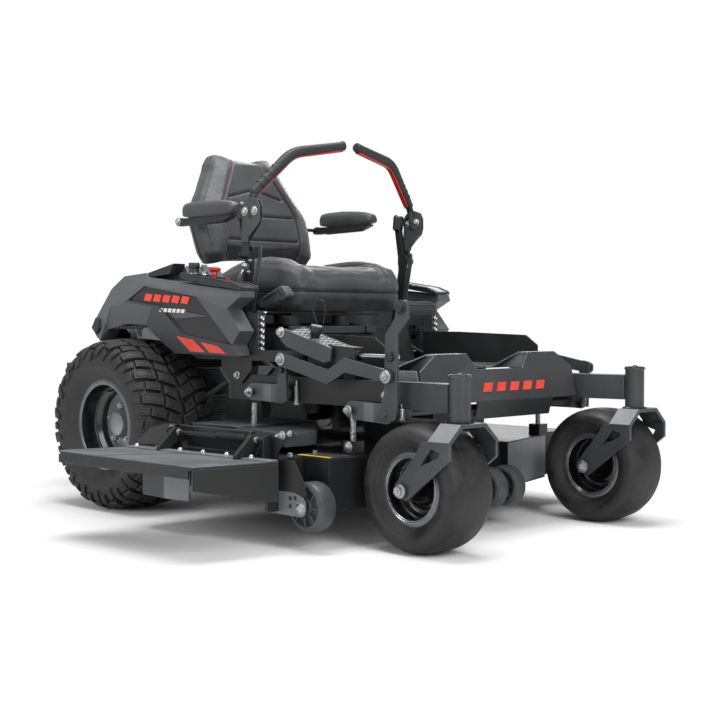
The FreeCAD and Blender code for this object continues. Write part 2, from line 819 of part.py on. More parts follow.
def bladeSpindle(name):
    x, y = spindles[name]
    top = dim("deckTop")
    shaft = rod("Dims.spindleRadius", (x, y, 106), (x, y, top + 36))
    pulley = turned(
        "XZ",
        [(13, 11), (48, 11), (58, 14), (58, 17), (46, 21), (58, 25), (58, 28), (48, 31), (13, 31)],
        "V_Axis",
        (x, y, top),
    )
    nut = rod(17, (x, y, 106), (x, y, 113.8))
    half, wide = dim("bladeRadius"), dim("bladeWide") / 2
    outline = [(-half, -wide), (half, -wide), (half, wide), (-half, wide)]
    blade = slab("XY", outline, "Dims.bladeThick", 0, [(0, 0, 12.51)])
    blade.Placement = Placement(Vector(x, y, 117), Rotation(Z, 25 if name == "center" else -20))
    node("blade_" + name, blade)
    node("spindle_" + name, grouped(fused(shaft, nut), pulley))


def dischargeChute():
    outline = [(960, -672), (918, -915, 6), (328, -915, 30), (379, -700)]
    plate = slab("XY", outline, 6, 230)
    lip = block((350, -915, 205), (906, -909, 227.2))
    flapLength = hypot(960 - 918, 915 - 672)
    flap = slab("YZ", [(0, 0), (flapLength - 6, 0), (flapLength - 6, -50), (30, -92, 12), (0, -92)], 6, 0)
    flap.Placement = Placement(Vector(956, -672, 227.2), Rotation(Z, degrees(atan2(-243, -42)) - 90))
    ears = []
    bore = dim("hingeRodRadius") + dim("runningGap")
    for x in (530, 850):
        ear = [(-697, 233.1), (-722, 233.1), (-722, 245), (-668, 294, 10), (-642, 294, 12), (-642, 268, 10)]
        ears.append(slab("YZ", ear, 12, x, [(-655, 281, bore)]))
    node("discharge_chute", grouped(fused(plate, lip, flap), *ears))


def antiScalpBrackets():
    """Wheel carriers bolted to the front of the deck, with their bolts."""
    parts = []
    for side in (-1, 1):
        low, high = sorted((side * 556, side * 620))
        flange = block((905.2, low, 96), (911, high, 150))
        outline = [(905.2, 96), (985, 92, 10), (1004, 100, 12), (1004, 132, 14), (960, 142), (905.2, 142)]
        plate = slab("XZ", outline, 6, side * 617)
        bolt = rod("Dims.wheelBoltRadius", (985, side * 622, 115), (985, side * 546, 115))
        parts.append(fused(flange, plate, bolt))
    arms = []
    for y in (-11, 67, 145):
        outline = [(998.2, 98), (1040, 98), (1072, 103, 12), (1072, 127, 12), (1040, 150), (998.2, 150)]
        arms.append(slab("XZ", outline, 6, y))
    bolt = rod("Dims.wheelBoltRadius", (1060, -16, 115), (1060, 150, 115))
    parts.append(fused(*arms, bolt))
    return parts


def roundedWheel(radius, wide, x, y, z):
    """Plastic wheel with a rounded tread and a bore for its bolt."""
    half, bore = wide / 2, dim("wheelBoltRadius") + dim("runningGap")
    outline = [(-half, bore), (-half, radius, 12), (half, radius, 12), (half, bore)]
    return turned("YZ", outline, "H_Axis", (x, y, z))


def antiScalpWheels():
    for side in (-1, 1):
        wheel = roundedWheel(dim("scalpRadius"), dim("scalpWide"), 985, side * 580, 115)
        node("antiscalp_wheel_" + sideName(side), wheel)
    rollers = [roundedWheel(dim("rollerRadius"), dim("rollerWide"), 1060, y, 115) for y in (28, 106)]
    node("antiscalp_rollers", grouped(*rollers))


# ---------------------------------------------------------------- drive
def transaxles():
    """Two hydrostatic drives under the rails, each with a tube around its axle shaft."""
    drives = []
    for side in (-1, 1):
        low, high = sorted((side * 20, side * 180))
        case = block((-90, low, 205), (150, high, 352))
        horn = rod(35, (0, side * 178, 263.5), (0, side * 390, 263.5))
        low, high = sorted((side * 178, side * 238))
        feet = block((-60, low, 285), (60, high, 357.8))
        bore = rod("Dims.rearAxleRadius + Dims.runningGap", (0, side * 245, 263.5), (0, side * 395, 263.5))
        drives.append(cut(fused(case, horn, feet), bore))
    node("transaxles", grouped(*drives))


def engine():
    crankcase = block((-380, -130, 434.4), (-120, 130, 620))
    cylinders = []
    for side in (-1, 1):
        cylinders.append(block((-330, side * 90 - 55, 500), (-200, side * 90 + 55, 610)))
    node("engine_block", fused(crankcase, *cylinders))
    outline = [(0, 0), (150, 0), (165, 20), (165, 70), (120, 100), (0, 104)]
    shroud = turned("XZ", outline, "V_Axis", (-250, 0, 620.3))
    node("engine_shroud", shroud)
    muffler = rod(55, (-450, -150, 520), (-450, 150, 520))
    outlet = rod(16, (-450, -120, 440), (-450, -120, 480))
    node("muffler", fused(muffler, outlet))
    shaft = rod(14, (-250, 0, 290), (-250, 0, 434))
    clutch = rod(60, (-250, 0, 360), (-250, 0, 410))
    outline = [(0, 0), (60, 0), (70, 4), (58, 12), (70, 20), (70, 24), (0, 24)]
    pulley = turned("XZ", outline, "V_Axis", (-250, 0, 300))
    node("engine_pulley", fused(shaft, clutch, pulley))


# ---------------------------------------------------------------- controls
def controls():
    node("throttle_knob", rod(17, (305, -418, 721.6), (305, -418, 754.6)))
    key = fused(rod(10, (330, -400, 717.5), (330, -400, 727)), block((327, -409, 727), (333, -391, 748)))
    node("ignition_key", key)
    stalk = rod(7, (400, -418, 707.5), (400, -418, 716))
    outline = [(0, 0), (9, 0), (8, 8), (18, 14), (18, 19), (12, 22), (0, 22)]
    mushroom = turned("XZ", outline, "V_Axis", (400, -418, 716))
    node("pto_knob", fused(stalk, mushroom))
    node("fuel_cap", rod(38, (120, 330, 742), (120, 330, 768)))
    lever = bent([(470, -304, 566), (478, -304, 620), (560, -304, 660)], 7, 12)
    grip = rod(14, (500, -304, 631), (600, -304, 679))
    hub = rod(14, (470, -312, 566), (470, -296, 566))
    node("brake_lever", fused(lever, grip, hub))


def lightPod(side):
    """Work light: finned housing with a row of six round lenses in front."""
    y = side * 373
    body = block((522, y - 10, 492), (552, y + 10, 608))
    fins = [block((498, y - 10, 494 + i * 8.4), (522, y + 10, 497 + i * 8.4)) for i in range(14)]
    lenses = [rod(6.5, (552, y, 503 + i * 17.8), (556, y, 503 + i * 17.8)) for i in range(6)]
    node("light_pod_" + sideName(side), fused(body, *fins, *lenses))


for side in (-1, 1):
    rearWheel(side)
    frontWheel(side)
    casterFork(side)
    frameRail(side)
    fender(side)
    lapBar(side)
    armrest(side)
    lightPod(side)
crossMembers()
enginePlate()
floorPan()
frontGuard()
seatPlatform()
consoles()
transaxles()
seat()
liftCranks()
liftLinks()
heightSelector()
cuttingDeck()
beltCovers()
for name in spindles:
    bladeSpindle(name)
dischargeChute()
antiScalpWheels()
engine()
controls()

doc.recompute()
for thing in doc.Objects:
    if "Invalid" in thing.State or "Error" in thing.State:
        raise RuntimeError(f"{thing.Name} ({thing.Label}) did not rebuild: {thing.State}")
for thing in nodes:
    if thing.Shape.isNull() or not thing.Shape.isValid():
        raise RuntimeError(f"{thing.Label} has no valid shape")
for thing in nodes:
    thing.Shape.exportStep(f"parts/{thing.Label}.step")
print(len(nodes), "sub-parts written")
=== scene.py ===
import bmesh
import bpy
from math import cos, hypot, pi, radians, sin
from mathutils import Matrix, Vector, noise
from mathutils.bvhtree import BVHTree


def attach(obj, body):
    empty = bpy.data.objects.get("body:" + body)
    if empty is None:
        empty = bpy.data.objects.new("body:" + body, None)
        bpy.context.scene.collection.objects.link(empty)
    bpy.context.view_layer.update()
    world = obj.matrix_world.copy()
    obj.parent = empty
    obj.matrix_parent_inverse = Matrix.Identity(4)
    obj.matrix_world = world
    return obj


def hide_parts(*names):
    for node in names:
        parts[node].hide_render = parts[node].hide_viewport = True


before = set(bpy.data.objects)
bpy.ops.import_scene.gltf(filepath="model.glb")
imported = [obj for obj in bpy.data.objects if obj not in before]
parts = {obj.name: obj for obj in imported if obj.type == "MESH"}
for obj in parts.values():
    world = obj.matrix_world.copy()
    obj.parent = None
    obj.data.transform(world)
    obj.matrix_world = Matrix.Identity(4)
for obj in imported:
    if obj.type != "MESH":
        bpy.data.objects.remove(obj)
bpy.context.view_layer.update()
sides = {-1: "right", 1: "left"}


originX, originY = 381.5, 137.5  # from the middle of the rear axle to the middle of the CAD box, mm


def at(x, y, z):  # millimetres from the middle of the rear axle, on the ground
    return Vector(((x - originX) / 1000, (y + originY) / 1000, z / 1000))


# --- finishes

def shadeOf(text):  # sRGB hex to the linear values that a shader wants
    levels = [int(text[i:i + 2], 16) / 255 for i in (1, 3, 5)]
    return [v / 12.92 if v <= 0.04045 else ((v + 0.055) / 1.055) ** 2.4 for v in levels] + [1.0]


def addNode(tree, kind, settings=None, links=None):
    made = tree.nodes.new(kind)
    for key, value in (settings or {}).items():
        if isinstance(key, str) and hasattr(made, key):
            setattr(made, key, value)
        else:
            made.inputs[key].default_value = value
    for key, source in (links or {}).items():
        tree.links.new(source, made.inputs[key])
    return made


def makeFinish(name, look):
    made = bpy.data.materials.new(name)
    made.use_nodes = True
    tree = made.node_tree
    tree.nodes.clear()
    spot = addNode(tree, "ShaderNodeTexCoord").outputs["Object"]
    if look.get("stretch"):
        spot = addNode(tree, "ShaderNodeMapping", {"Scale": look["stretch"]}, {"Vector": spot}).outputs[0]
    cloud = addNode(tree, "ShaderNodeTexNoise", {"Scale": 1000 / look["cloudMm"], "Detail": 5.0,
        "Roughness": 0.62}, {"Vector": spot})
    if look.get("cells"):
        grain = addNode(tree, "ShaderNodeTexVoronoi", {"Scale": 1000 / look["grainMm"],
            "feature": "SMOOTH_F1", "Smoothness": 0.35}, {"Vector": spot})
        grainOut = grain.outputs["Distance"]
    else:
        grain = addNode(tree, "ShaderNodeTexNoise", {"Scale": 1000 / look["grainMm"], "Detail": 3.0,
            "Roughness": 0.6}, {"Vector": spot})
        grainOut = grain.outputs[0]
    spread = addNode(tree, "ShaderNodeMapRange", {"From Min": 0.32, "From Max": 0.68},
        {"Value": cloud.outputs[0]})
    fine = addNode(tree, "ShaderNodeMath", {"operation": "MULTIPLY_ADD", 1: look.get("speckle", 0.25),
        2: -look.get("speckle", 0.25) / 2}, {0: grainOut})
    mixAt = addNode(tree, "ShaderNodeMath", {"operation": "ADD", "use_clamp": True},
        {0: spread.outputs[0], 1: fine.outputs[0]})
    colour = addNode(tree, "ShaderNodeMix", {"data_type": "RGBA", 6: shadeOf(look["dark"]),
        7: shadeOf(look["light"])}, {0: mixAt.outputs[0]}).outputs[2]
    normal = None
    # painted highlight: near edges, where the bevel normal turns from the true normal, the colour is mixed
    # towards the edge tone so edges look lit
    if look.get("edge"):
        around = addNode(tree, "ShaderNodeBevel", {"samples": 4, "Radius": look.get("edgeMm", 1.6) / 1000})
        normal = around.outputs[0]
        true = addNode(tree, "ShaderNodeNewGeometry").outputs["Normal"]
        facing = addNode(tree, "ShaderNodeVectorMath", {"operation": "DOT_PRODUCT"}, {0: normal, 1: true})
        edgeHighlight = addNode(tree, "ShaderNodeMapRange", {"From Min": 0.995, "From Max": 0.86,
            "To Max": look.get("edgeShare", 0.6)}, {"Value": facing.outputs["Value"]})
        colour = addNode(tree, "ShaderNodeMix", {"data_type": "RGBA", 7: shadeOf(look["edge"])},
            {0: edgeHighlight.outputs[0], 6: colour}).outputs[2]
    low, high = look["rough"]
    rough = addNode(tree, "ShaderNodeMapRange", {"To Min": low, "To Max": high},
        {"Value": mixAt.outputs[0]})
    bump = addNode(tree, "ShaderNodeBump", {"Strength": look.get("bump", 0.25),
        "Distance": look.get("bumpMm", 0.3) / 1000}, {"Height": grainOut})
    if normal:
        tree.links.new(normal, bump.inputs["Normal"])
    shader = addNode(tree, "ShaderNodeBsdfPrincipled", {"Metallic": look.get("metal", 0.0),
        "IOR": look.get("ior", 1.5)}, {"Base Color": colour, "Roughness": rough.outputs[0],
        "Normal": bump.outputs[0]})
    for key in ("Coat Weight", "Coat Roughness", "Sheen Weight", "Sheen Roughness", "Emission Strength"):
        if key in look:
            shader.inputs[key].default_value = look[key]
    addNode(tree, "ShaderNodeOutputMaterial", {}, {"Surface": shader.outputs[0]})
    return made


# powder-coated steel: fine orange peel, satin, with a painted highlight where a bend turns
greyPowderCoat = makeFinish("greyPowderCoat", {"dark": "#3a3c3f", "light": "#46484b", "edge": "#8c8f92",
    "cloudMm": 160, "grainMm": 1.6, "rough": (0.36, 0.48), "bump": 0.12, "speckle": 0.18, "metal": 0.25})
lightPowderCoat = makeFinish("lightPowderCoat", {"dark": "#6c6f73", "light": "#7d8084", "edge": "#a5a7aa",
    "cloudMm": 120, "grainMm": 1.6, "rough": (0.34, 0.46), "bump": 0.12, "speckle": 0.18, "metal": 0.25})
blackPowderCoat = makeFinish("blackPowderCoat", {"dark": "#121314", "light": "#1b1c1e", "edge": "#56585b",
    "cloudMm": 140, "grainMm": 1.4, "rough": (0.34, 0.5), "bump": 0.15, "speckle": 0.2, "edgeShare": 0.45})
deckEnamel = makeFinish("deckEnamel", {"dark": "#151617", "light": "#212224", "edge": "#606265",
    "cloudMm": 220, "grainMm": 1.8, "rough": (0.3, 0.46), "bump": 0.12, "speckle": 0.2, "edgeShare": 0.5})
# moulded tire rubber: dull, a little bloom in wide clouds, fine pitting
tireRubber = makeFinish("tireRubber", {"dark": "#070708", "light": "#2d2d2f", "cloudMm": 52, "grainMm": 2.4,
    "rough": (0.44, 0.76), "bump": 0.4, "bumpMm": 0.35, "speckle": 0.45})
lugRubber = makeFinish("lugRubber", {"dark": "#161617", "light": "#2d2d2e", "edge": "#4a4a4b",
    "edgeMm": 2.2, "edgeShare": 0.5, "cloudMm": 60, "grainMm": 2.0, "rough": (0.5, 0.72), "bump": 0.35,
    "speckle": 0.4})
# gloss black wheel enamel over pressed steel
rimEnamel = makeFinish("rimEnamel", {"dark": "#0b0b0c", "light": "#151516", "edge": "#4c4d4f",
    "edgeShare": 0.4, "cloudMm": 90, "grainMm": 1.4, "rough": (0.16, 0.3), "bump": 0.08, "speckle": 0.15,
    "Coat Weight": 0.4})
# bead ring: light grey metal on the black rim, a painted highlight line round the rim
beadPaintedHighlight = makeFinish("beadPaintedHighlight", {"dark": "#5c5e61", "light": "#727477", "edge": "#b0b2b4",
    "edgeMm": 0.9, "edgeShare": 0.6, "cloudMm": 70, "grainMm": 1.2, "rough": (0.18, 0.3), "bump": 0.08,
    "speckle": 0.15, "metal": 0.5})
# textured rubber sheet on the chute, and soft rubber hand grips
chuteRubber = makeFinish("chuteRubber", {"dark": "#0f1011", "light": "#191a1b", "edge": "#77797b",
    "edgeMm": 2.0, "edgeShare": 0.5, "cloudMm": 130, "grainMm": 3.2, "cells": True, "rough": (0.42, 0.62),
    "bump": 0.5, "bumpMm": 0.5, "speckle": 0.3})
gripRubber = makeFinish("gripRubber", {"dark": "#1d1e1f", "light": "#2c2d2e", "cloudMm": 40, "grainMm": 1.2,
    "rough": (0.5, 0.66), "bump": 0.3, "speckle": 0.25})
# moulded fender plastic (TPO): fine leather-like mould grain, satin
fenderPlastic = makeFinish("fenderPlastic", {"dark": "#4d4f53", "light": "#5a5c60", "edge": "#888b8f",
    "edgeShare": 0.4, "cloudMm": 180, "grainMm": 1.5, "rough": (0.4, 0.52), "bump": 0.22, "speckle": 0.22})
darkPlastic = makeFinish("darkPlastic", {"dark": "#1a1b1d", "light": "#262729", "edge": "#505255",
    "edgeShare": 0.4, "cloudMm": 110, "grainMm": 1.3, "rough": (0.36, 0.52), "bump": 0.25, "speckle": 0.2})
wheelPlastic = makeFinish("wheelPlastic", {"dark": "#3a3c3e", "light": "#494b4d", "edge": "#606265",
    "edgeShare": 0.3, "cloudMm": 60, "grainMm": 1.4, "rough": (0.38, 0.52), "bump": 0.2, "speckle": 0.25})
redPlastic = makeFinish("redPlastic", {"dark": "#a3160f", "light": "#c4241a", "cloudMm": 30, "grainMm": 1.0,
    "rough": (0.26, 0.38), "bump": 0.1, "speckle": 0.15, "Coat Weight": 0.2})
redInk = makeFinish("redInk", {"dark": "#d63a2c", "light": "#e4503f", "cloudMm": 60, "grainMm": 1.2,
    "rough": (0.36, 0.46), "bump": 0.08, "speckle": 0.12})
# seat vinyl: embossed leather cells, soft sheen on the crowns
seatVinyl = makeFinish("seatVinyl", {"dark": "#2b2c2e", "light": "#38393c", "cloudMm": 120, "grainMm": 2.6,
    "cells": True, "rough": (0.4, 0.54), "bump": 0.45, "bumpMm": 0.4, "speckle": 0.25, "Sheen Weight": 0.15,
    "Sheen Roughness": 0.5})
pipingVinyl = makeFinish("pipingVinyl", {"dark": "#131314", "light": "#1d1d1f", "cloudMm": 40,
    "grainMm": 1.2, "rough": (0.36, 0.5), "bump": 0.2, "speckle": 0.2})
redThread = makeFinish("redThread", {"dark": "#96201a", "light": "#b92f26", "cloudMm": 12, "grainMm": 0.8,
    "rough": (0.55, 0.7), "bump": 0.3, "speckle": 0.3})
# zinc-plated hardware, turned steel and die-cast aluminium
zincPlate = makeFinish("zincPlate", {"dark": "#9a9c9e", "light": "#c2c3c3", "edge": "#e2e2e0",
    "edgeMm": 0.8, "cloudMm": 24, "grainMm": 1.0, "rough": (0.24, 0.4), "bump": 0.12, "speckle": 0.35,
    "metal": 0.9})
brightSteel = makeFinish("brightSteel", {"dark": "#a4a6a8", "light": "#cfd0d1", "cloudMm": 60,
    "grainMm": 0.9, "stretch": (1.0, 1.0, 8.0), "rough": (0.16, 0.3), "bump": 0.1, "speckle": 0.3,
    "metal": 1.0})
castAlloy = makeFinish("castAlloy", {"dark": "#6e7072", "light": "#8c8e90", "edge": "#b0b1b2",
    "cloudMm": 50, "grainMm": 2.0, "rough": (0.42, 0.6), "bump": 0.4, "speckle": 0.4, "metal": 0.8})
machinedDisc = makeFinish("machinedDisc", {"dark": "#777a7e", "light": "#94979a", "cloudMm": 50,
    "grainMm": 1.2, "rough": (0.3, 0.42), "bump": 0.1, "speckle": 0.25, "metal": 0.5})
lampLens = makeFinish("lampLens", {"dark": "#c9cfd6", "light": "#f0f3f6", "cloudMm": 5, "grainMm": 1.0,
    "rough": (0.06, 0.16), "bump": 0.3, "speckle": 0.4, "Coat Weight": 1.0})
plainYellow = makeFinish("plainYellow", {"dark": "#cfae1f", "light": "#e0c23a", "cloudMm": 40,
    "grainMm": 1.0, "rough": (0.4, 0.5), "bump": 0.08, "speckle": 0.12})
plainWhite = makeFinish("plainWhite", {"dark": "#cfcfce", "light": "#e4e4e3", "cloudMm": 40, "grainMm": 1.0,
    "rough": (0.4, 0.5), "bump": 0.08, "speckle": 0.12})

cadFinishes = {
    greyPowderCoat: ["caster_fork_left", "caster_fork_right", "frame_rail_left", "frame_rail_right",
    "front_guard", "lift_links", "front_lift_crank", "rear_lift_crank", "cross_members"],
    blackPowderCoat: ["floor_pan", "seat_platform", "seat_frame", "engine_plate", "lap_bar_base_left",
    "lap_bar_base_right", "lap_bar_left", "lap_bar_right", "height_selector", "spindle_center",
    "spindle_left", "spindle_right", "blade_center", "blade_left", "blade_right", "engine_pulley"],
    deckEnamel: ["deck_shell", "belt_covers", "deck_fittings"],
    tireRubber: ["front_tire_left", "front_tire_right", "rear_tire_left", "rear_tire_right"],
    rimEnamel: ["front_rim_left", "front_rim_right", "rear_rim_left", "rear_rim_right"],
    chuteRubber: ["discharge_chute"],
    gripRubber: ["brake_lever"],
    fenderPlastic: ["fender_left", "fender_right"],
    darkPlastic: ["consoles", "armrest_left", "armrest_right", "throttle_knob", "fuel_cap",
    "light_pod_left", "light_pod_right", "height_pin", "engine_shroud"],
    wheelPlastic: ["antiscalp_wheel_left", "antiscalp_wheel_right", "antiscalp_rollers"],
    redPlastic: ["pto_knob"],
    seatVinyl: ["seat_cushion", "seat_back"],
    brightSteel: ["stop_rod", "ignition_key"],
    castAlloy: ["transaxles", "engine_block", "muffler"],
}
for finish, names in cadFinishes.items():
    for name in names:
        mesh = parts[name].data
        mesh.materials.clear()
        mesh.materials.append(finish)
print("finishes on", len(parts), "CAD parts")

# --- stage: pale floor, soft boxes, camera

stage = {"floorTone": "#e6e6e6", "worldTone": "#ffffff", "world": 0.46, "lensMm": 66.7, "nearM": 1.25,
    "farM": 2.7}


def addStage():
    mesh = bpy.data.meshes.new("floor")
    mesh.from_pydata([(-40, -40, 0), (40, -40, 0), (40, 40, 0), (-40, 40, 0)], [], [(0, 1, 2, 3)])
    floor = bpy.data.objects.new("floor", mesh)
    bpy.context.scene.collection.objects.link(floor)
    made = bpy.data.materials.new("matPaper")
    made.use_nodes = True
    tree = made.node_tree
    tree.nodes.clear()
    # matt paper that fades into the white surround a few metres out
    paper = addNode(tree, "ShaderNodeBsdfDiffuse", {"Color": shadeOf(stage["floorTone"]), "Roughness": 0.6})
    glow = addNode(tree, "ShaderNodeEmission", {"Color": shadeOf(stage["worldTone"]), "Strength": 1.0})
    spot = addNode(tree, "ShaderNodeTexCoord").outputs["Object"]
    reach = addNode(tree, "ShaderNodeVectorMath", {"operation": "LENGTH"}, {0: spot})
    fade = addNode(tree, "ShaderNodeMapRange", {"interpolation_type": "SMOOTHSTEP",
        "From Min": stage["nearM"], "From Max": stage["farM"]}, {"Value": reach.outputs["Value"]})
    both = addNode(tree, "ShaderNodeMixShader", {}, {0: fade.outputs[0], 1: paper.outputs[0],
        2: glow.outputs[0]})
    addNode(tree, "ShaderNodeOutputMaterial", {}, {"Surface": both.outputs[0]})
    mesh.materials.append(made)
    world = bpy.data.worlds.new("studio")
    world.use_nodes = True
    tree = world.node_tree
    tree.nodes.clear()
    seen = addNode(tree, "ShaderNodeLightPath").outputs["Is Camera Ray"]
    strength = addNode(tree, "ShaderNodeMapRange", {"To Min": stage["world"], "To Max": 1.0},
        {"Value": seen})
    ground = addNode(tree, "ShaderNodeBackground", {"Color": shadeOf(stage["worldTone"])},
        {"Strength": strength.outputs[0]})
    addNode(tree, "ShaderNodeOutputWorld", {}, {"Surface": ground.outputs[0]})
    bpy.context.scene.world = world


def addSoftBox(name, place, target, size, power):
    lamp = bpy.data.lights.new(name, "AREA")
    lamp.shape = "RECTANGLE"
    lamp.size, lamp.size_y = size
    lamp.energy = power
    thing = bpy.data.objects.new(name, lamp)
    thing.location = place
    thing.rotation_euler = (Vector(target) - Vector(place)).to_track_quat("-Z", "Y").to_euler()
    bpy.context.scene.collection.objects.link(thing)


addStage()
addSoftBox("overhead", (0.3, -0.1, 3.4), (0, 0, 0.4), (2.6, 1.8), 125)
addSoftBox("frontRight", (3.6, -1.2, 2.2), (0.2, 0, 0.4), (1.4, 2.0), 62)
addSoftBox("sideRight", (-0.6, -4.2, 1.8), (0, 0, 0.4), (2.4, 1.4), 46)
addSoftBox("rearLeft", (-2.4, 3.2, 2.6), (0, 0, 0.6), (2.0, 2.0), 80)

lens = bpy.data.cameras.new("viewer")
lens.lens, lens.sensor_width = stage["lensMm"], 36
lens.shift_x, lens.shift_y = 0.0071, 0.0
lens.clip_end = 100
camera = bpy.data.objects.new("viewer", lens)
rightWay = Vector((0.7079, 0.7064, 0))
upWay = Vector((-0.0208, 0.0209, 0.9996))
aheadWay = Vector((-0.7060, 0.7075, -0.0295))
turnTo = Matrix((rightWay, upWay, -aheadWay)).transposed().to_4x4()
camera.matrix_world = Matrix.Translation(at(3407.4, -2864.9, 589.7)) @ turnTo
bpy.context.scene.collection.objects.link(camera)
bpy.context.scene.camera = camera
bpy.context.scene.view_settings.view_transform = "Standard"
print("stage ready")

# --- mesh helpers

boxFaces = [(3, 2, 1, 0), (4, 5, 6, 7), (0, 1, 5, 4), (1, 2, 6, 5), (2, 3, 7, 6), (3, 0, 4, 7)]
slabFaces = [(0, 1, 2, 3), (7, 6, 5, 4), (0, 4, 5, 1), (1, 5, 6, 2), (2, 6, 7, 3), (3, 7, 4, 0)]


def makePiece(name, shape, finish, body, sharp=32, soften=0.0):
    mesh = bpy.data.meshes.new(name)
    mesh.from_pydata([tuple(p) for p in shape[0]], [], shape[1])
    mesh.validate()
    work = bmesh.new()
    work.from_mesh(mesh)
    bmesh.ops.recalc_face_normals(work, faces=work.faces)
    work.to_mesh(mesh)
    work.free()
    mesh.materials.append(finish)
    mesh.shade_smooth()
    mesh.set_sharp_from_angle(angle=radians(sharp))
    thing = bpy.data.objects.new(name, mesh)
    bpy.context.scene.collection.objects.link(thing)
    if soften:
        rim = thing.modifiers.new("soften", "BEVEL")
        rim.width, rim.segments, rim.limit_method, rim.angle_limit = soften / 1000, 2, "ANGLE", radians(32)
    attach(thing, body)
    return thing


def addPiece(name, shape, finish, body, sharp=32, soften=0.0):
    whole = joinShapes(shape) if isinstance(shape, list) else shape  # a list of shapes becomes one mesh
    makePiece(name, whole, finish, body, sharp, soften)


def span(side, low, high):  # two distances from the centreline, in rising order on either side
    return sorted((side * low, side * high))


def joinShapes(shapes):
    points, faces = [], []
    for more, loops in shapes:
        base = len(points)
        points.extend(more)
        faces.extend([tuple(i + base for i in loop) for loop in loops])
    return points, faces


# profile of (along the axis, radius) in mm
def turnProfile(profile, centre, axis="y", turns=96, closed=False):
    points, faces = [], []
    for k in range(turns):
        a = 2 * pi * k / turns
        for along, radius in profile:
            u, v = radius * cos(a), radius * sin(a)
            spot = {"y": (u, along, v), "x": (along, u, v), "z": (u, v, along)}[axis]
            points.append(at(centre[0] + spot[0], centre[1] + spot[1], centre[2] + spot[2]))
    n = len(profile)
    for k in range(turns):
        m = (k + 1) % turns
        for i in range(n if closed else n - 1):
            j = (i + 1) % n
            faces.append((k * n + i, k * n + j, m * n + j, m * n + i))
    return points, faces


# flat outline in mm pushed between two places on the third axis
def pushOutline(outline, low, high, plane="xz"):
    points, faces = [], []
    for w in (low, high):
        for u, v in outline:
            spot = {"xz": (u, w, v), "xy": (u, v, w), "yz": (w, u, v)}[plane]
            points.append(at(*spot))
    n = len(outline)
    faces.append(tuple(range(n - 1, -1, -1)))
    faces.append(tuple(range(n, 2 * n)))
    for i in range(n):
        j = (i + 1) % n
        faces.append((i, j, n + j, n + i))
    return points, faces


def smoothRoute(route, steps=8):  # Catmull-Rom through the corners
    spots = [Vector(p) for p in route]
    padded = [spots[0] * 2 - spots[1]] + spots + [spots[-1] * 2 - spots[-2]]
    out = []
    for i in range(1, len(padded) - 2):
        a, b, c, d = padded[i - 1:i + 3]
        for s in range(steps):
            t = s / steps
            out.append(0.5 * ((2 * b) + (c - a) * t + (2 * a - 5 * b + 4 * c - d) * t * t
                + (3 * b - a - 3 * c + d) * t ** 3))
    out.append(spots[-1])
    return out


# round bar along points in mm; radius may be one per point
def sweepRound(route, radius, around=14, cap=True):
    spots = [Vector(p) for p in route]
    radii = radius if isinstance(radius, (list, tuple)) else [radius] * len(spots)
    points, faces = [], []
    up = None
    for i, p in enumerate(spots):
        ahead = (spots[min(i + 1, len(spots) - 1)] - spots[max(i - 1, 0)]).normalized()
        if up is None:
            up = ahead.orthogonal().normalized()
        up = (up - ahead * up.dot(ahead)).normalized()
        aside = ahead.cross(up)
        for k in range(around):
            a = 2 * pi * k / around
            points.append(at(*(p + (up * cos(a) + aside * sin(a)) * radii[i])))
    for i in range(len(spots) - 1):
        for k in range(around):
            m = (k + 1) % around
            faces.append((i * around + k, i * around + m, (i + 1) * around + m, (i + 1) * around + k))
    if cap:
        faces.append(tuple(range(around - 1, -1, -1)))
        last = (len(spots) - 1) * around
        faces.append(tuple(range(last, last + around)))
    return points, faces


# hexagon head on a washer, all in mm
def boltHead(place, way, across=13, tall=6, washer=True, dome=False, studOut=0):
    way = Vector(way).normalized()
    up = way.orthogonal().normalized()
    aside = way.cross(up)
    points, faces = [], []

    def disc(rows, count):
        base = len(points)
        for lift, r in rows:
            for k in range(count):
                a = 2 * pi * (k + 0.5) / count
                points.append(at(*(Vector(place) + way * lift + (up * cos(a) + aside * sin(a)) * r)))
        for i in range(len(rows) - 1):
            for k in range(count):
                m = (k + 1) % count
                faces.append((base + i * count + k, base + i * count + m, base + (i + 1) * count + m,
                    base + (i + 1) * count + k))
        last = base + (len(rows) - 1) * count
        faces.append(tuple(range(last, last + count)))

    low = 0.0
    if washer:
        disc([(0, across * 0.8), (1.4, across * 0.8), (1.6, across * 0.77)], 24)
        low = 1.6
    if dome:
        disc([(low, across * 0.62), (low + tall * 0.35, across * 0.6), (low + tall * 0.7, across * 0.46),
            (low + tall * 0.9, across * 0.28), (low + tall * 0.97, across * 0.1)], 24)
    else:
        disc([(low, across / 1.732), (low + tall * 0.86, across / 1.732), (low + tall, across * 0.5)], 6)
    if studOut:
        disc([(low + tall * 0.8, across * 0.28), (low + tall + studOut, across * 0.28),
            (low + tall + studOut + 1, across * 0.22)], 16)
    return points, faces


# --- rear drive wheels: chevron-lug tires, deep black rims with a bead ring painted bright as a highlight, and a bolted hub

rearWheel = {"radius": 263.5, "half": 137, "track": 426, "lug": 13, "pitches": 19, "bead": 127}


def rearSection(steps):  # outside of the carcass, from bead to bead, as (across, radius)
    r, half = rearWheel["radius"] - rearWheel["lug"], rearWheel["half"] - 5
    ribs = [(-100, 132), (-108, 143), (-118, 158), (-half + 2, 178), (-half, 198), (-half + 3, 216),
        (-half * 0.9, 233), (-half * 0.72, 244), (-half * 0.4, r - 1.5), (0, r)]
    whole = ribs + [(-y, q) for y, q in reversed(ribs[:-1])]
    fine = smoothRoute([(y, q, 0) for y, q in whole], steps)
    return [(p.x, p.y) for p in fine]


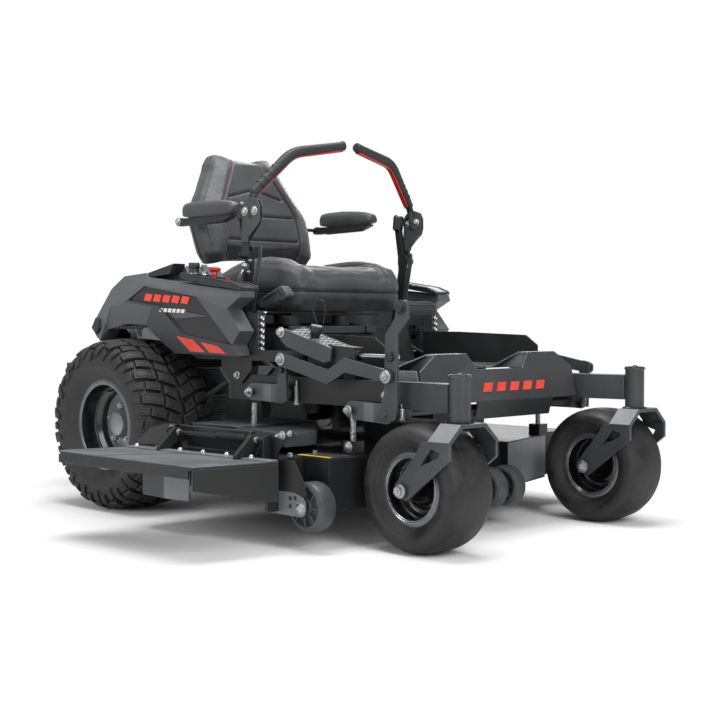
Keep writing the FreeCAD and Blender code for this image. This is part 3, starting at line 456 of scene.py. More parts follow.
def addRearTire(side):
    centre = (0, side * rearWheel["track"], rearWheel["radius"])
    section = rearSection(5)
    carcass = turnProfile(section, centre, "y", 140)
    inner = turnProfile([(-100, 132), (-99, 128), (-60, 130), (60, 130), (99, 128), (100, 132)], centre,
        "y", 96)
    lengths = [0]
    for a, b in zip(section, section[1:]):
        lengths.append(lengths[-1] + hypot(b[0] - a[0], b[1] - a[1]))
    middle = lengths[-1] / 2

    def onTire(angle, across, lift):  # across is measured along the section from the crown
        want = min(max(across + middle, 0.5), lengths[-1] - 0.5)
        k = next(i for i in range(len(lengths) - 1) if lengths[i + 1] >= want)
        t = (want - lengths[k]) / (lengths[k + 1] - lengths[k])
        y = section[k][0] + (section[k + 1][0] - section[k][0]) * t
        r = section[k][1] + (section[k + 1][1] - section[k][1]) * t
        dy, dr = section[k + 1][0] - section[k][0], section[k + 1][1] - section[k][1]
        size = hypot(dy, dr)
        y, r = y - dr / size * lift * (1 if dy >= 0 else 1), r + dy / size * lift
        return at(centre[0] + r * cos(angle), centre[1] + y, centre[2] + r * sin(angle))

    lugs = []

    # corners (degrees round, mm across) in order; edge chamfer and a sunk line inside the edge
    def addLug(corners, tall, grid=(5, 7)):
        (a0, s0), (a1, s1), (a2, s2), (a3, s3) = corners
        wide = rearWheel["radius"] * radians(hypot(a1 - a0, (s1 - s0) / 4.6))
        long = hypot(rearWheel["radius"] * radians(a3 - a0), s3 - s0)
        points, faces = [], []

        def spotOn(p, q, lift):
            a = (1 - q) * ((1 - p) * a0 + p * a1) + q * ((1 - p) * a3 + p * a2)
            s = (1 - q) * ((1 - p) * s0 + p * s1) + q * ((1 - p) * s3 + p * s2)
            return onTire(radians(a), s, lift)

        rows = [(0, -1.0), (0, tall - 2.2), (1.8, tall), (5.5, tall), (6.3, tall - 1.6), (7.6, tall - 1.6),
            (8.4, tall)]
        nu, nv = grid
        loops = []
        for inMm, lift in rows:
            ip, iq = min(inMm / wide, 0.42), min(inMm / long, 0.42)
            ring = []
            for k in range(nu):
                ring.append((ip + (1 - 2 * ip) * k / nu, iq))
            for k in range(nv):
                ring.append((1 - ip, iq + (1 - 2 * iq) * k / nv))
            for k in range(nu):
                ring.append((1 - ip - (1 - 2 * ip) * k / nu, 1 - iq))
            for k in range(nv):
                ring.append((ip, 1 - iq - (1 - 2 * iq) * k / nv))
            base = len(points)
            points.extend([spotOn(p, q, lift) for p, q in ring])
            loops.append(list(range(base, base + len(ring))))
        for low, high in zip(loops, loops[1:]):
            n = len(low)
            for k in range(n):
                m = (k + 1) % n
                faces.append((low[k], low[m], high[m], high[k]))
        inMm, lift = rows[-1]
        ip, iq = min(inMm / wide, 0.42), min(inMm / long, 0.42)
        base = len(points)
        for i in range(nu + 1):
            for j in range(nv + 1):
                points.append(spotOn(ip + (1 - 2 * ip) * i / nu, iq + (1 - 2 * iq) * j / nv, lift))
        for i in range(nu):
            for j in range(nv):
                c = base + i * (nv + 1) + j
                faces.append((c, c + 1, c + nv + 2, c + nv + 1))
        lugs.append((points, faces))

    step = 360 / rearWheel["pitches"]
    tall = rearWheel["lug"]
    for k in range(rearWheel["pitches"]):
        a = k * step
        for hand in (-1, 1):
            shift = 0 if hand > 0 else step / 2

            def band(points):
                return [(a + shift + p * side * -1, hand * s) for p, s in points]
            addLug(band([(0.0, 4), (7.4, 4), (12.2, 50), (4.6, 56)]), tall)
            addLug(band([(9.4, 14), (15.4, 12), (19.6, 44), (14.0, 52)]), tall, (4, 5))
            addLug(band([(5.6, 62), (13.0, 56), (16.4, 118), (9.0, 122)]), tall - 0.5, (5, 9))
            addLug(band([(15.6, 60), (21.6, 56), (24.4, 98), (18.4, 104)]), tall - 1.5, (4, 6))
            addLug(band([(18.8, 109), (24.6, 103), (25.6, 146), (20.8, 142)]), tall - 5, (4, 6))
            addLug(band([(9.8, 128), (16.2, 124), (16.8, 160), (12.0, 158)]), tall - 7, (4, 5))
    body = "rear_wheel_" + sides[side]
    tire = makePiece("rearTire_" + sides[side], joinShapes([carcass, inner]), tireRubber, body, 60)
    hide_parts("rear_tire_" + sides[side])
    addPiece("rearLugs_" + sides[side], lugs, lugRubber, body, 24)


def addRearHub(side):
    body, out = "rear_wheel_" + sides[side], side
    centre = (0, side * rearWheel["track"], rearWheel["radius"])

    def flip(profile):
        return [(y * out, r) for y, r in profile]
    # painted highlight: the bead rings take the light grey bead finish
    bead = turnProfile(flip([(98, 123.4), (103.4, 122.6), (105.4, 124.4), (105.8, 128), (105.2, 136),
        (104, 141.5), (102, 142.4)]), centre, "y", 128)
    second = turnProfile(flip([(52, 122.4), (55, 121.8), (56, 120), (54, 118.6), (50, 119)]), centre, "y",
        96)
    addPiece("rearBeadRing_" + sides[side], [bead, second], beadPaintedHighlight, body, 50)
    wall = turnProfile(flip([(102, 123), (88, 121.4), (60, 120.4), (50, 119), (40, 108), (22, 101),
        (21, 96)]), centre, "y", 128)
    addPiece("rearDish_" + sides[side], wall, rimEnamel, body, 30)
    disc = turnProfile(flip([(21.4, 101), (23, 99), (24, 82), (30, 74), (31.6, 62), (31.6, 46)]), centre,
        "y", 128)
    dome = turnProfile(flip([(31.2, 46), (36, 45), (50, 42), (60, 36), (64, 24), (65, 10), (65.2, 0.2)]),
        centre, "y", 64)
    addPiece("rearHub_" + sides[side], [disc, dome], machinedDisc, body, 32)
    nuts = []
    for k in range(5):
        a = 2 * pi * k / 5 + 0.3
        nuts.append(boltHead((centre[0] + 57 * cos(a), centre[1] + out * 31.4, centre[2] + 57 * sin(a)),
            (0, out, 0), 20, 13, True, False, 5))
    addPiece("rearLugNuts_" + sides[side], nuts, zincPlate, body, 30)
    valve = sweepRound([(0, centre[1] + out * 62, centre[2] + 108),
        (0, centre[1] + out * 82, centre[2] + 103), (0, centre[1] + out * 92, centre[2] + 102)],
        [4, 3.4, 3.6], 12)
    addPiece("rearValve_" + sides[side], valve, gripRubber, body, 40)


# --- caster wheels: smooth wide tires on black rims

frontWheel = {"radius": 165, "half": 81, "track": 385, "x": 1198}


def addFrontTire(side):
    body = "front_wheel_" + sides[side]
    centre = (frontWheel["x"], side * frontWheel["track"], frontWheel["radius"])
    half, r = frontWheel["half"], frontWheel["radius"]
    sideWall = [(-56, 83), (-60, 92), (-63, 98), (-70, 106), (-half + 1, 121), (-half, 134),
        (-half + 4, 146), (-half + 14, 155), (-half + 30, 161)]
    crown = [(y, r - 0.2 - 0.0016 * y * y) for y in (-38, -26, -13, 0, 13, 26, 38)]
    whole = sideWall + crown + [(-y, q) for y, q in reversed(sideWall)]
    fine = [(p.x, p.y) for p in smoothRoute([(y, q, 0) for y, q in whole], 4)]
    fine = [(y, min(q, r)) for y, q in fine]
    rows = [(p[0], p[1]) for p in fine] + [(56, 79), (-56, 79)]
    points, faces = turnProfile(rows, centre, "y", 180, True)
    mid = at(*centre)
    for p in points:  # slight moulding unevenness of the tread face
        d = Vector((p.x - mid.x, 0, p.z - mid.z))
        if d.length > 0.15:
            p -= d.normalized() * (0.0009 * max(noise.noise(Vector((p.x, p.y, p.z)) * 34), 0))
    ribs = []
    for y in (-72, 72):
        ribs.append(turnProfile([(y, 112), (y * 1.05, 112.5), (y * 1.055, 115), (y, 116)], centre, "y",
            128))
    tire = makePiece("casterTire_" + sides[side], joinShapes([(points, faces)] + ribs), tireRubber, body,
        50)
    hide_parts("front_tire_" + sides[side])
    rings, dishes, caps = [], [], []
    for out in (-1, 1):
        flip = [(out * y, q) for y, q in [(55, 79.5), (60.6, 79), (62.6, 81), (63, 86), (62.2, 92),
            (60, 94.5)]]
        rings.append(turnProfile(flip, centre, "y", 96))
        flip = [(out * y, q) for y, q in [(60, 79), (44, 77.4), (24, 75), (12, 66), (9, 56), (12, 44),
            (26, 36), (44, 32), (60, 27), (76.4, 25), (76.6, 12)]]
        dishes.append(turnProfile(flip, centre, "y", 96))
        flip = [(out * y, q) for y, q in [(13, 62), (15, 61), (16, 58), (14.4, 56)]]
        caps.append(turnProfile(flip, centre, "y", 96))
    # painted highlights: thin bright-steel lines and light grey bead rings on the rim stand in for glints
    # along its bends
    lines = []
    for out in (-1, 1):
        for across, reach in ((62.8, 83.5), (60.8, 78.6), (26, 73.6)):
            flip = [(out * y, q) for y, q in [(across, reach - 0.9), (across + 0.7, reach - 0.4),
                (across + 0.7, reach + 0.4), (across, reach + 0.9)]]
            lines.append(turnProfile(flip, centre, "y", 96))
    addPiece("casterRimHighlightLines_" + sides[side], lines, brightSteel, body, 50)
    addPiece("casterBeadRings_" + sides[side], rings + caps, beadPaintedHighlight, body, 50)
    addPiece("casterDish_" + sides[side], dishes, rimEnamel, body, 30)


for side in (-1, 1):
    addRearTire(side)
    addRearHub(side)
    addFrontTire(side)
print("wheels made")

# --- fenders: faceted moulded skin with a dark recess, red stripes, sill hardware

fenderSkin = {"outer": 452, "inner": 394, "step": 262}
fenderPoints = {  # (forwards, up, how far the facet corner stands out)
    "A": (-187, 572, -10), "B": (-82, 683, -10), "C": (-21, 721, -16), "D": (93, 729, -16),
        "E": (111, 716, -8),
    "F": (208, 705, -6), "G": (355, 686, -6), "H": (551, 667, -6), "a": (-134, 517, 0), "b": (-96, 581, 2),
    "c": (-69, 630, 4), "d": (102, 695, 5), "e": (355, 659, 5), "f": (551, 648, 2), "g": (494, 617, -1),
    "h": (550, 554, -2), "r0": (17, 647, 0), "r1": (108, 688, 3), "r2": (362, 652, 3), "r3": (517, 514, 0),
    "r4": (291, 544, 1), "r5": (175, 628, 1), "k0": (-31, 629, 1), "k1": (0, 642, 1), "k2": (140, 624, 0),
    "k3": (98, 570, -10), "m3": (532, 482, -10), "m4": (240, 486, -10), "m5": (150, 534, -10),
    "n1": (-100, 556, -10), "n2": (0, 573, -10),
}


def addFender(side):
    out = fenderSkin["outer"]

    def spot(name, sink=0.0):
        x, z, d = fenderPoints[name]
        return (x, side * (out + d - sink), z)

    def skin(loops):
        names, points, faces = {}, [], []
        for loop in loops:
            for n in loop:
                if n not in names:
                    names[n] = len(points)
                    points.append(at(*spot(n)))
            faces.append(tuple(names[n] for n in loop))
        return points, faces

    body, name = "chassis", sides[side]
    band = skin([("A", "B", "c", "b"), ("B", "C", "D", "d", "c"), ("D", "E", "d"),
        ("E", "F", "G", "e", "d"), ("G", "H", "f", "e"),
                 ("d", "e", "r2", "r1"), ("c", "d", "r1", "r0", "k1", "k0"), ("e", "f", "g", "r2"),
                     ("A", "b", "a")])
    loop = ["A", "B", "C", "D", "E", "F", "G", "H", "f", "g", "h", "r3", "m3", "m4", "m5", "k3", "n2", "n1",
        "a"]
    walls = ([], [])
    for n in loop:
        walls[0].append(at(*spot(n)))
        x, z, d = fenderPoints[n]
        walls[0].append(at(x, side * fenderSkin["inner"], z))
    for i in range(len(loop)):
        j = (i + 1) % len(loop)
        walls[1].append((2 * i, 2 * j, 2 * j + 1, 2 * i + 1))
    walls[1].append(tuple(2 * i + 1 for i in range(len(loop))))
    innerStep = [(-137, 560), (-180, 575), (-88, 672), (-20, 715), (94, 724), (228, 748), (262, 709),
        (262, 560)]
    low, high = sorted((side * fenderSkin["step"], side * 395))
    step = pushOutline(innerStep, low, high)
    filler = [turnProfile([(712, 32), (716, 31), (738, 30), (741.6, 28), (741.6, 2)], (120, 330, 0), "z",
        40)] if side > 0 else []
    shell = makePiece("fender_skin_" + name, joinShapes([band, walls, step] + filler), fenderPlastic, body,
        12, 2.2)
    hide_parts("fender_" + name)
    # painted shade: the lower facets take a darker copy of the fender plastic
    lower = skin([("b", "c", "k0", "n2", "n1"), ("a", "b", "n1"), ("k0", "k1", "k2", "k3", "n2"),
        ("r2", "g", "h", "r3")])
    addPiece("fender_lower_" + name, lower, fenderPaintedShade, body, 12)
    # painted shade: the recessed valance takes the darkest copy of the fender plastic
    dark = skin([("k1", "r0", "r5", "k2"), ("k2", "r5", "r4", "m4", "m5", "k3"), ("r4", "r3", "m3", "m4")])
    addPiece("fender_valance_" + name, dark, fenderPaintedDeepShade, body, 12)
    rim = ["r0", "r1", "r2", "r3", "r4", "r5"]
    mid = Vector((250, 0, 605))
    recess = ([], [])
    for share, sink in ((1.0, 0.0), (0.965, 5.0), (0.945, 6.0)):
        for n in rim:
            x, y, z = spot(n, sink)
            recess[0].append(at(mid.x + (x - mid.x) * share, y, mid.z + (z - mid.z) * share))
    for ring in (0, 1):
        for i in range(6):
            j = (i + 1) % 6
            recess[1].append((ring * 6 + i, ring * 6 + j, ring * 6 + 6 + j, ring * 6 + 6 + i))
    recess[1].append(tuple(range(12, 18)))
    addPiece("fender_recess_" + name, recess, darkPlastic, body, 10)
    # painted shade: this turned facet takes the darker copy of the fender plastic
    facet = pushOutline([(190, 622), (408, 596), (256, 588)], *span(side, 444, 451))
    addPiece("fender_facet_" + name, facet, fenderPaintedShade, body, 20, 1.5)

    def onValance(x, z, lift):  # height of the lower panel at a place, between its top and bottom edges
        top = 544 - (x - 291) * 30 / 226
        share = min(max((z - 484) / (top - 484), 0), 1)
        return side * (out - 10 + 10.6 * share + lift)

    stripes = []
    for corners in ([(262, 537), (338, 528), (388, 491), (318, 493)], [(374, 521), (450, 511), (484, 488),
            (408, 491)]):
        points = [at(x, onValance(x, z, lift), z) for lift in (-1.0, 1.2) for x, z in corners]
        stripes.append((points, boxFaces))
    addPiece("fender_stripes_" + name, stripes, redInk, body, 20)
    marks = []  # plain slanted bars where a maker would put a name
    for k in range(5):
        x, z = fenderMark["x"] + k * fenderMark["pitch"], fenderMark["z"] - k * fenderMark["fall"]
        tall, wide, lean = fenderMark["tall"], fenderMark["wide"], 12
        bar = [(x, z), (x + wide, z - 4), (x + wide + lean, z + tall - 4), (x + lean, z + tall)]
        marks.append(pushOutline(bar, *span(side, 445, 451.6)))
    addPiece("fender_bars_" + name, marks, redInk, body, 20)
    smalls = []
    for k in range(6):
        x = 178 + k * 21
        smalls.append(pushOutline([(x, 610 - k * 0.8), (x + 14, 609 - k * 0.8), (x + 18, 620 - k * 0.8),
            (x + 4, 621 - k * 0.8)], *span(side, 445, 452)))
    addPiece("fender_small_bars_" + name, smalls, plainWhite, body, 20)
    insert = pushOutline([(104, 728), (236, 754), (214, 722), (114, 715)], *span(side, 396, 441))
    addPiece("fender_insert_" + name, insert, darkPlastic, body, 20, 2)
    clasp = [pushOutline([(-172, 560), (-150, 592), (-136, 588), (-128, 560), (-150, 540)],
        *span(side, 440, 458)),
             pushOutline([(-150, 560), (-138, 572), (-132, 556)], *span(side, 456, 463))]
    rows = [pushOutline([(40 + k * 15, 556), (50 + k * 15, 557), (50 + k * 15, 566), (40 + k * 15, 566)],
        *span(side, 438, 446)) for k in range(-6, 3)]
    addPiece("fender_clasp_" + name, clasp + rows, darkPlastic, body, 20, 1.5)
    tail = pushOutline([(-187, 572), (-198, 560), (-168, 528), (-140, 519), (-134, 540)],
        *span(side, 330, 440))
    addPiece("fender_tail_" + name, tail, darkPlastic, body, 20, 3)


# the same moulded fender plastic in darker copies: painted shade where panels turn away from the light or
# lie in a recess
fenderPaintedShade = makeFinish("fenderPaintedShade", {"dark": "#424447", "light": "#4e5054", "edge": "#74777b",
    "edgeShare": 0.4, "cloudMm": 180, "grainMm": 1.5, "rough": (0.4, 0.52), "bump": 0.22, "speckle": 0.22})
fenderPaintedDeepShade = makeFinish("fenderPaintedDeepShade", {"dark": "#2b2c2e", "light": "#353639", "edge": "#5c5e61",
    "edgeShare": 0.4, "cloudMm": 180, "grainMm": 1.5, "rough": (0.4, 0.52), "bump": 0.22, "speckle": 0.22})
fenderMark = {"x": 100, "z": 645, "pitch": 45, "fall": 2.4, "tall": 21, "wide": 33}
for side in (-1, 1):
    addFender(side)


# --- control consoles: panel plate with raised rim, marks, key, throttle collar, fuel cap ribs

def addConsole(side):
    name = sides[side]
    plate = [(280, 721.5), (330, 716.6), (512, 690.6), (551, 677), (551, 679.4), (513, 693), (331, 719),
        (280, 724)]
    # painted shade: the console side trims are drawn in the darkest copy of the fender plastic
    trim = [pushOutline(plate, *sorted((side * a, side * b))) for a, b in ((381, 387), (443, 449))]
    trim.append(pushOutline([(276, 712), (284, 712), (284, 724.5), (276, 724.5)], *span(side, 381, 449)))
    addPiece("console_rim_" + name, trim, fenderPaintedDeepShade, "chassis", 20, 1.2)
    if side > 0:
        cap = turnProfile([(742.4, 30), (744, 37), (762, 37.4), (766, 35), (768, 30), (767, 12),
            (768, 0.2)], (120, 330, 0), "z", 56)
        teeth = []
        for k in range(22):
            a = 2 * pi * k / 22
            ring = [(37.2, -2.6), (39.0, -1.6), (39.0, 1.6), (37.2, 2.6)]
            foot = [(r * cos(a) - t * sin(a) + 120, r * sin(a) + t * cos(a) + 330) for r, t in ring]
            teeth.append(pushOutline(foot, 744, 762, "xy"))
        bar = pushOutline([(92, 324), (148, 324), (148, 336), (92, 336)], 766, 767.6, "xy")
        piece = makePiece("fuel_cap_ribbed", joinShapes([cap, bar] + teeth), darkPlastic, "fuel", 30, 0.8)
        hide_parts("fuel_cap")
        return
    collar = turnProfile([(718, 15), (721.4, 18), (723.4, 18), (724, 15)], (305, -418, 0), "z", 40)
    addPiece("throttle_collar", collar, zincPlate, "chassis", 40)
    knob = turnProfile([(722, 12), (724, 15.5), (730, 14.4), (736, 13.8), (740, 16.6), (751, 16.6),
        (754, 14.5), (754.6, 0.2)], (305, -418, 0), "z", 48)
    piece = makePiece("throttle_grip", knob, darkPlastic, "throttle", 36)
    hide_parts("throttle_knob")
    marks = []
    for k in range(6):
        a = radians(150 - k * 24)
        x, y = 305 + 24 * cos(a), -418 + 24 * sin(a)
        marks.append(pushOutline([(x - 1.6, y - 1.6), (x + 1.6, y - 1.6), (x + 1.6, y + 1.6),
            (x - 1.6, y + 1.6)], 719.2, 721.4, "xy"))
    addPiece("console_marks", marks, plainWhite, "chassis", 20)
    lamps = [turnProfile([(697, 4), (706.4, 4), (707, 3), (707, 0.2)], (436 + 18 * k, -400 - 10 * k, 0),
        "z", 20) for k in range(2)]
    addPiece("console_lamps", lamps, redPlastic, "chassis", 30)
    ring = turnProfile([(716, 11), (718.6, 12.4), (720, 11.4), (720, 10.2)], (330, -400, 0), "z", 32)
    addPiece("key_ring", ring, brightSteel, "chassis", 40)


for side in (-1, 1):
    addConsole(side)
print("fenders made")

# --- seat: vinyl cushions blown up by cloth simulation, then seams, piping and red stitching

seatCushion = {"voxelMm": 6.0, "pressure": 4.0, "frames": 20, "cap": 24.0, "shrink": 0.975, "calm": 16}
seatBack = {"voxelMm": 6.0, "pressure": 4.0, "frames": 20, "cap": 22.0, "shrink": 0.975, "calm": 16}


def between(table, t):
    for (a, u), (b, v) in zip(table, table[1:]):
        if t <= b:
            s = max(0.0, (t - a) / (b - a))
            return u + (v - u) * s
    return table[-1][1]


def loftRings(rings):  # closed rings in mm joined one after another, ends capped
    points, faces = [], []
    n = len(rings[0])
    for ring in rings:
        points.extend([at(*p) for p in ring])
    for i in range(len(rings) - 1):
        for k in range(n):
            m = (k + 1) % n
            faces.append((i * n + k, i * n + m, (i + 1) * n + m, (i + 1) * n + k))
    faces.append(tuple(range(n - 1, -1, -1)))
    faces.append(tuple(range((len(rings) - 1) * n, len(rings) * n)))
    return points, faces


def swell(thing, plan, centre):
    mesh = thing.data
    middle = at(*centre)
    for v in mesh.vertices:
        v.co = middle + (v.co - middle) * plan["shrink"]
    mesher = thing.modifiers.new("remesh", "REMESH")
    mesher.mode, mesher.voxel_size = "VOXEL", plan["voxelMm"] / 1000
    bpy.context.view_layer.objects.active = thing
    bpy.ops.object.select_all(action="DESELECT")
    thing.select_set(True)
    bpy.ops.object.modifier_apply(modifier="remesh")
    start = [v.co.copy() for v in thing.data.vertices]
    cloth = thing.modifiers.new("cloth", "CLOTH")
    cloth.settings.use_pressure = True
    cloth.settings.uniform_pressure_force = plan["pressure"]
    cloth.settings.effector_weights.gravity = 0
    cloth.settings.quality = 4
    cloth.settings.tension_stiffness = cloth.settings.compression_stiffness = 30
    scene = bpy.context.scene
    for f in range(1, plan["frames"] + 1):
        scene.frame_set(f)
    bpy.ops.object.modifier_apply(modifier="cloth")
    scene.frame_set(1)
    moves = [v.co - p for v, p in zip(thing.data.vertices, start)]
    near = [[] for _ in moves]
    for edge in thing.data.edges:
        one, two = edge.vertices
        near[one].append(two)
        near[two].append(one)
    for _ in range(plan["calm"]):  # firm foam lets no small wrinkle stand
        moves = [sum((moves[k] for k in near[i]), moves[i]) / (len(near[i]) + 1)
            for i in range(len(moves))]
    cap = plan["cap"] / 1000
    for v, p, move in zip(thing.data.vertices, start, moves):
        v.co = p + (move * (cap / move.length) if move.length > cap else move)
    divide = thing.modifiers.new("divide", "SUBSURF")
    divide.levels = divide.render_levels = 1
    bpy.ops.object.modifier_apply(modifier="divide")
    thing.data.shade_smooth()
    return thing


def bell(d, wide):  # one on a seam line, almost nothing three widths off
    return 2.718 ** (-(d / wide) ** 2)


# sewn channels: points near a seam line are pulled in along the facing way
def sinkSeam(thing, lines, wide, deep, facing):
    for v in thing.data.vertices:
        for line in lines:
            d = line(v.co)
            if d is not None and abs(d) < wide * 3:
                v.co -= facing * (deep * bell(d, wide))


def offMiddle(p):  # metres to either side of the centreline
    return abs(p.y - originY / 1000)


def onSurface(tree, spots, way, lift=0.0):  # drops points onto the cushion along a way
    out = []
    for p in spots:
        hit = tree.ray_cast(at(*p) - way * 0.6, way)
        if hit[0] is not None:
            out.append(hit[0] - way * lift)
    return out


def cordOver(points, radius, around=8):  # sweep in metres through points already on the surface
    back = [(p.x * 1000 + originX, p.y * 1000 - originY, p.z * 1000) for p in points]
    return sweepRound(back, radius, around)


def stitchesOver(points, long=5.0, gap=4.0, radius=0.9):
    shapes, walked = [], 0.0
    for a, b in zip(points, points[1:]):
        run = (b - a).length * 1000
        if run < 0.01:
            continue
        walked += run
        if walked >= long + gap:
            walked = 0.0
            way = (b - a).normalized() * (long / 2000)
            shapes.append(cordOver([a - way, a, a + way], [radius * 0.5, radius, radius * 0.5], 6))
    return shapes


def addSeatCushion():
    rings = []
    topLine = [(80, 726), (150, 724), (300, 708), (400, 706), (470, 716), (525, 736), (548, 728),
        (560, 696)]
    crestLine = [(80, 722), (150, 736), (235, 756), (330, 768), (400, 772), (480, 766), (540, 750),
        (560, 712)]
    lowLine = [(80, 622), (500, 616), (544, 620), (560, 648)]
    wideLine = [(80, 214), (140, 236), (420, 242), (500, 240), (540, 232), (560, 206)]
    xs = [80, 86, 110, 150, 200, 250, 300, 350, 400, 440, 475, 505, 528, 545, 555, 560]
    for x in xs:
        top, low, wide = between(topLine, x), between(lowLine, x), between(wideLine, x)
        tall = top - low
        crest = max(between(crestLine, x), top)
        outline = [(-wide + 16, low), (0, low), (wide - 16, low), (wide - 4, low + tall * 0.1),
            (wide, low + tall * 0.4), (wide, low + tall * 0.72),
                   (wide - 6, crest - 22), (wide - 24, crest - 1), (wide - 50, crest),
                       (wide - 84, top + (crest - top) * 0.2), (0, top - 2)]
        outline += [(-y, z) for y, z in reversed(outline[3:10])]
        rings.append([(x, y, z) for y, z in outline])
    cushion = makePiece("seat_cushion_vinyl", loftRings(rings), seatVinyl, "seat", 180)
    cushion.parent = None
    cushion.matrix_world = Matrix.Identity(4)
    swell(cushion, seatCushion, (320, 0, 680))
    low, high = at(72, -249, 612), at(566, 249, 778)
    for v in cushion.data.vertices:
        for i in range(3):
            v.co[i] = min(max(v.co[i], low[i]), high[i])

    def across(y):
        return lambda p: (offMiddle(p) - y / 1000) if p.z > 0.69 else None

    def atX(x):
        return lambda p: (p.x - (x - originX) / 1000) if p.z > 0.68 and offMiddle(p) < 0.17 else None

    def belt(p):
        return p.z - 0.672 if offMiddle(p) > 0.19 or p.x > 0.14 else None
    sinkSeam(cushion, [across(168), atX(486), atX(330), atX(190)], 0.0045, 0.006, Vector((0, 0, 1)))
    for v in cushion.data.vertices:
        d = belt(v.co)
        if d is not None and abs(d) < 0.02:
            mid = at(300, 0, 672)
            pull = Vector((v.co.x - mid.x, v.co.y - mid.y, 0))
            if pull.length > 0.01:
                v.co -= pull.normalized() * (0.004 * bell(d, 0.005))
    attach(cushion, "seat")
    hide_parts("seat_cushion")
    tree = BVHTree.FromPolygons([v.co for v in cushion.data.vertices],
        [tuple(f.vertices) for f in cushion.data.polygons])
    down = Vector((0, 0, -1))
    cords, threads = [], []
    for y in (-168, 168):
        line = onSurface(tree, [(x, y, 900) for x in range(96, 540, 6)], down, 0.0005)
        cords.append(cordOver(line, 2.6))
        line = onSurface(tree, [(x, y * 1.055, 900) for x in range(96, 530, 3)], down, 0.0006)
        threads += stitchesOver(line)
    for x in (486, 330, 190):
        line = onSurface(tree, [(x, y, 900) for y in range(-166, 167, 6)], down, 0.0)
        cords.append(cordOver(line, 2.0))
    around = []
    for k in range(140):
        a = -pi * 0.78 + pi * 1.56 * k / 139
        way = Vector((-cos(a), -sin(a), 0))
        start = at(300, 0, 672) - way * 0.9
        hit = tree.ray_cast(start, way)
        if hit[0] is not None:
            around.append(hit[0] - way * 0.0005)
    cords.append(cordOver(around, 3.0))
    addPiece("seat_cushion_piping", cords, pipingVinyl, "seat", 60)
    addPiece("seat_cushion_stitching", threads, redThread, "seat", 60)


def addSeatBack():
    frontLine = [(766, 132), (800, 138), (860, 124), (920, 104), (980, 82), (1050, 60), (1100, 44),
        (1128, 28)]
    rearLine = [(766, 70), (870, 28), (960, 4), (1040, -16), (1100, -26), (1128, -16)]
    wideLine = [(766, 212), (800, 228), (870, 234), (930, 232), (970, 214), (1010, 190), (1060, 162),
        (1100, 140), (1128, 118)]
    rings = []
    for z in (768, 776, 800, 840, 880, 920, 950, 980, 1010, 1040, 1070, 1095, 1114, 1126):
        front, rear, wide = between(frontLine, z), between(rearLine, z), between(wideLine, z) + 7
        deep = front - rear
        bolster = 15 * (1 - max(0, (z - 960) / 170)) if z > 790 else 8
        outline = [(rear, -wide + 26), (rear - 2, 0), (rear, wide - 26), (rear + 8, wide - 8),
            (rear + deep * 0.4, wide), (front - deep * 0.2, wide),
                   (front + bolster * 0.6, wide - 12), (front + bolster, wide - 34),
                       (front + bolster * 0.5, wide - 60), (front - 4, wide - 82), (front - 6, 0)]
        outline += [(x, -y) for x, y in reversed(outline[3:10])]
        rings.append([(x, y, 940 + (z - 940) * 1.06) for x, y in outline])
    back = makePiece("seat_back_vinyl", loftRings(rings), seatVinyl, "seat", 180)
    back.parent = None
    back.matrix_world = Matrix.Identity(4)
    swell(back, seatBack, (60, 0, 940))
    low, high = at(-46, -252, 746), at(170, 252, 1146)
    for v in back.data.vertices:
        for i in range(3):
            v.co[i] = min(max(v.co[i], low[i]), high[i])

    def sideSeam(p):
        z = p.z * 1000
        if p.x < (between(rearLine, z) + between(frontLine, z)) / 2000 - originX / 1000 or z < 780:
            return None
        return offMiddle(p) - (between(wideLine, z) - 74) / 1000

    def level(z, slope=0.0, half=0.15):
        def above(p):
            front = p.x > (between(rearLine, p.z * 1000) + 30 - originX) / 1000
            return p.z - z / 1000 - slope * offMiddle(p) if front and offMiddle(p) < half else None
        return above
    sinkSeam(back, [sideSeam, level(845, 0, 0.15), level(925, 0.0, 0.15), level(1012, -0.25, 0.115)],
        0.0045, 0.006, Vector((0.94, 0, 0.34)))
    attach(back, "seat")
    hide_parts("seat_back")
    tree = BVHTree.FromPolygons([v.co for v in back.data.vertices],
        [tuple(f.vertices) for f in back.data.polygons])
    rearWards = Vector((-1, 0, 0))
    cords, threads = [], []
    for hand in (-1, 1):
        line = onSurface(tree, [(700, hand * (between(wideLine, z) - 74), z) for z in range(786, 1120, 6)],
            rearWards, 0.0005)
        cords.append(cordOver(line, 2.6))
        line = onSurface(tree, [(700, hand * (between(wideLine, z) - 66), z) for z in range(930, 1116, 3)],
            rearWards, 0.0006)
        threads += stitchesOver(line)
        edge = []
        for z in range(780, 1118, 6):
            x = (between(frontLine, z) * 0.35 + between(rearLine, z) * 0.65)
            hit = tree.ray_cast(at(x, hand * 500, z), Vector((0, -hand, 0)))
            if hit[0] is not None:
                edge.append(hit[0] + Vector((0, hand * 0.0005, 0)))
        cords.append(cordOver(edge, 3.0))
    for z, slope, half in ((845, 0, 150), (925, 0, 150), (1012, -0.25, 112)):
        line = onSurface(tree, [(700, y, z + slope * abs(y)) for y in range(-half, half + 1, 6)], rearWards,
            0.0)
        cords.append(cordOver(line, 2.0))
    forward = Vector((1, 0, 0))
    for hand in (-1, 1):
        line = onSurface(tree, [(0, hand * (between(wideLine, z) - 44), z) for z in range(784, 1108, 6)],
            forward, 0.0)
        cords.append(cordOver(line, 2.6))
    for z in (800, 930, 1080):
        half = int(between(wideLine, z)) - 46
        line = onSurface(tree, [(0, y, z) for y in range(-half, half + 1, 6)], forward, 0.0)
        cords.append(cordOver(line, 2.0))
    addPiece("seat_back_piping", cords, pipingVinyl, "seat", 60)
    addPiece("seat_back_stitching", threads, redThread, "seat", 60)


armPad = {"voxelMm": 4.0, "pressure": 3.0, "frames": 16, "cap": 6.0, "shrink": 0.97, "calm": 8}


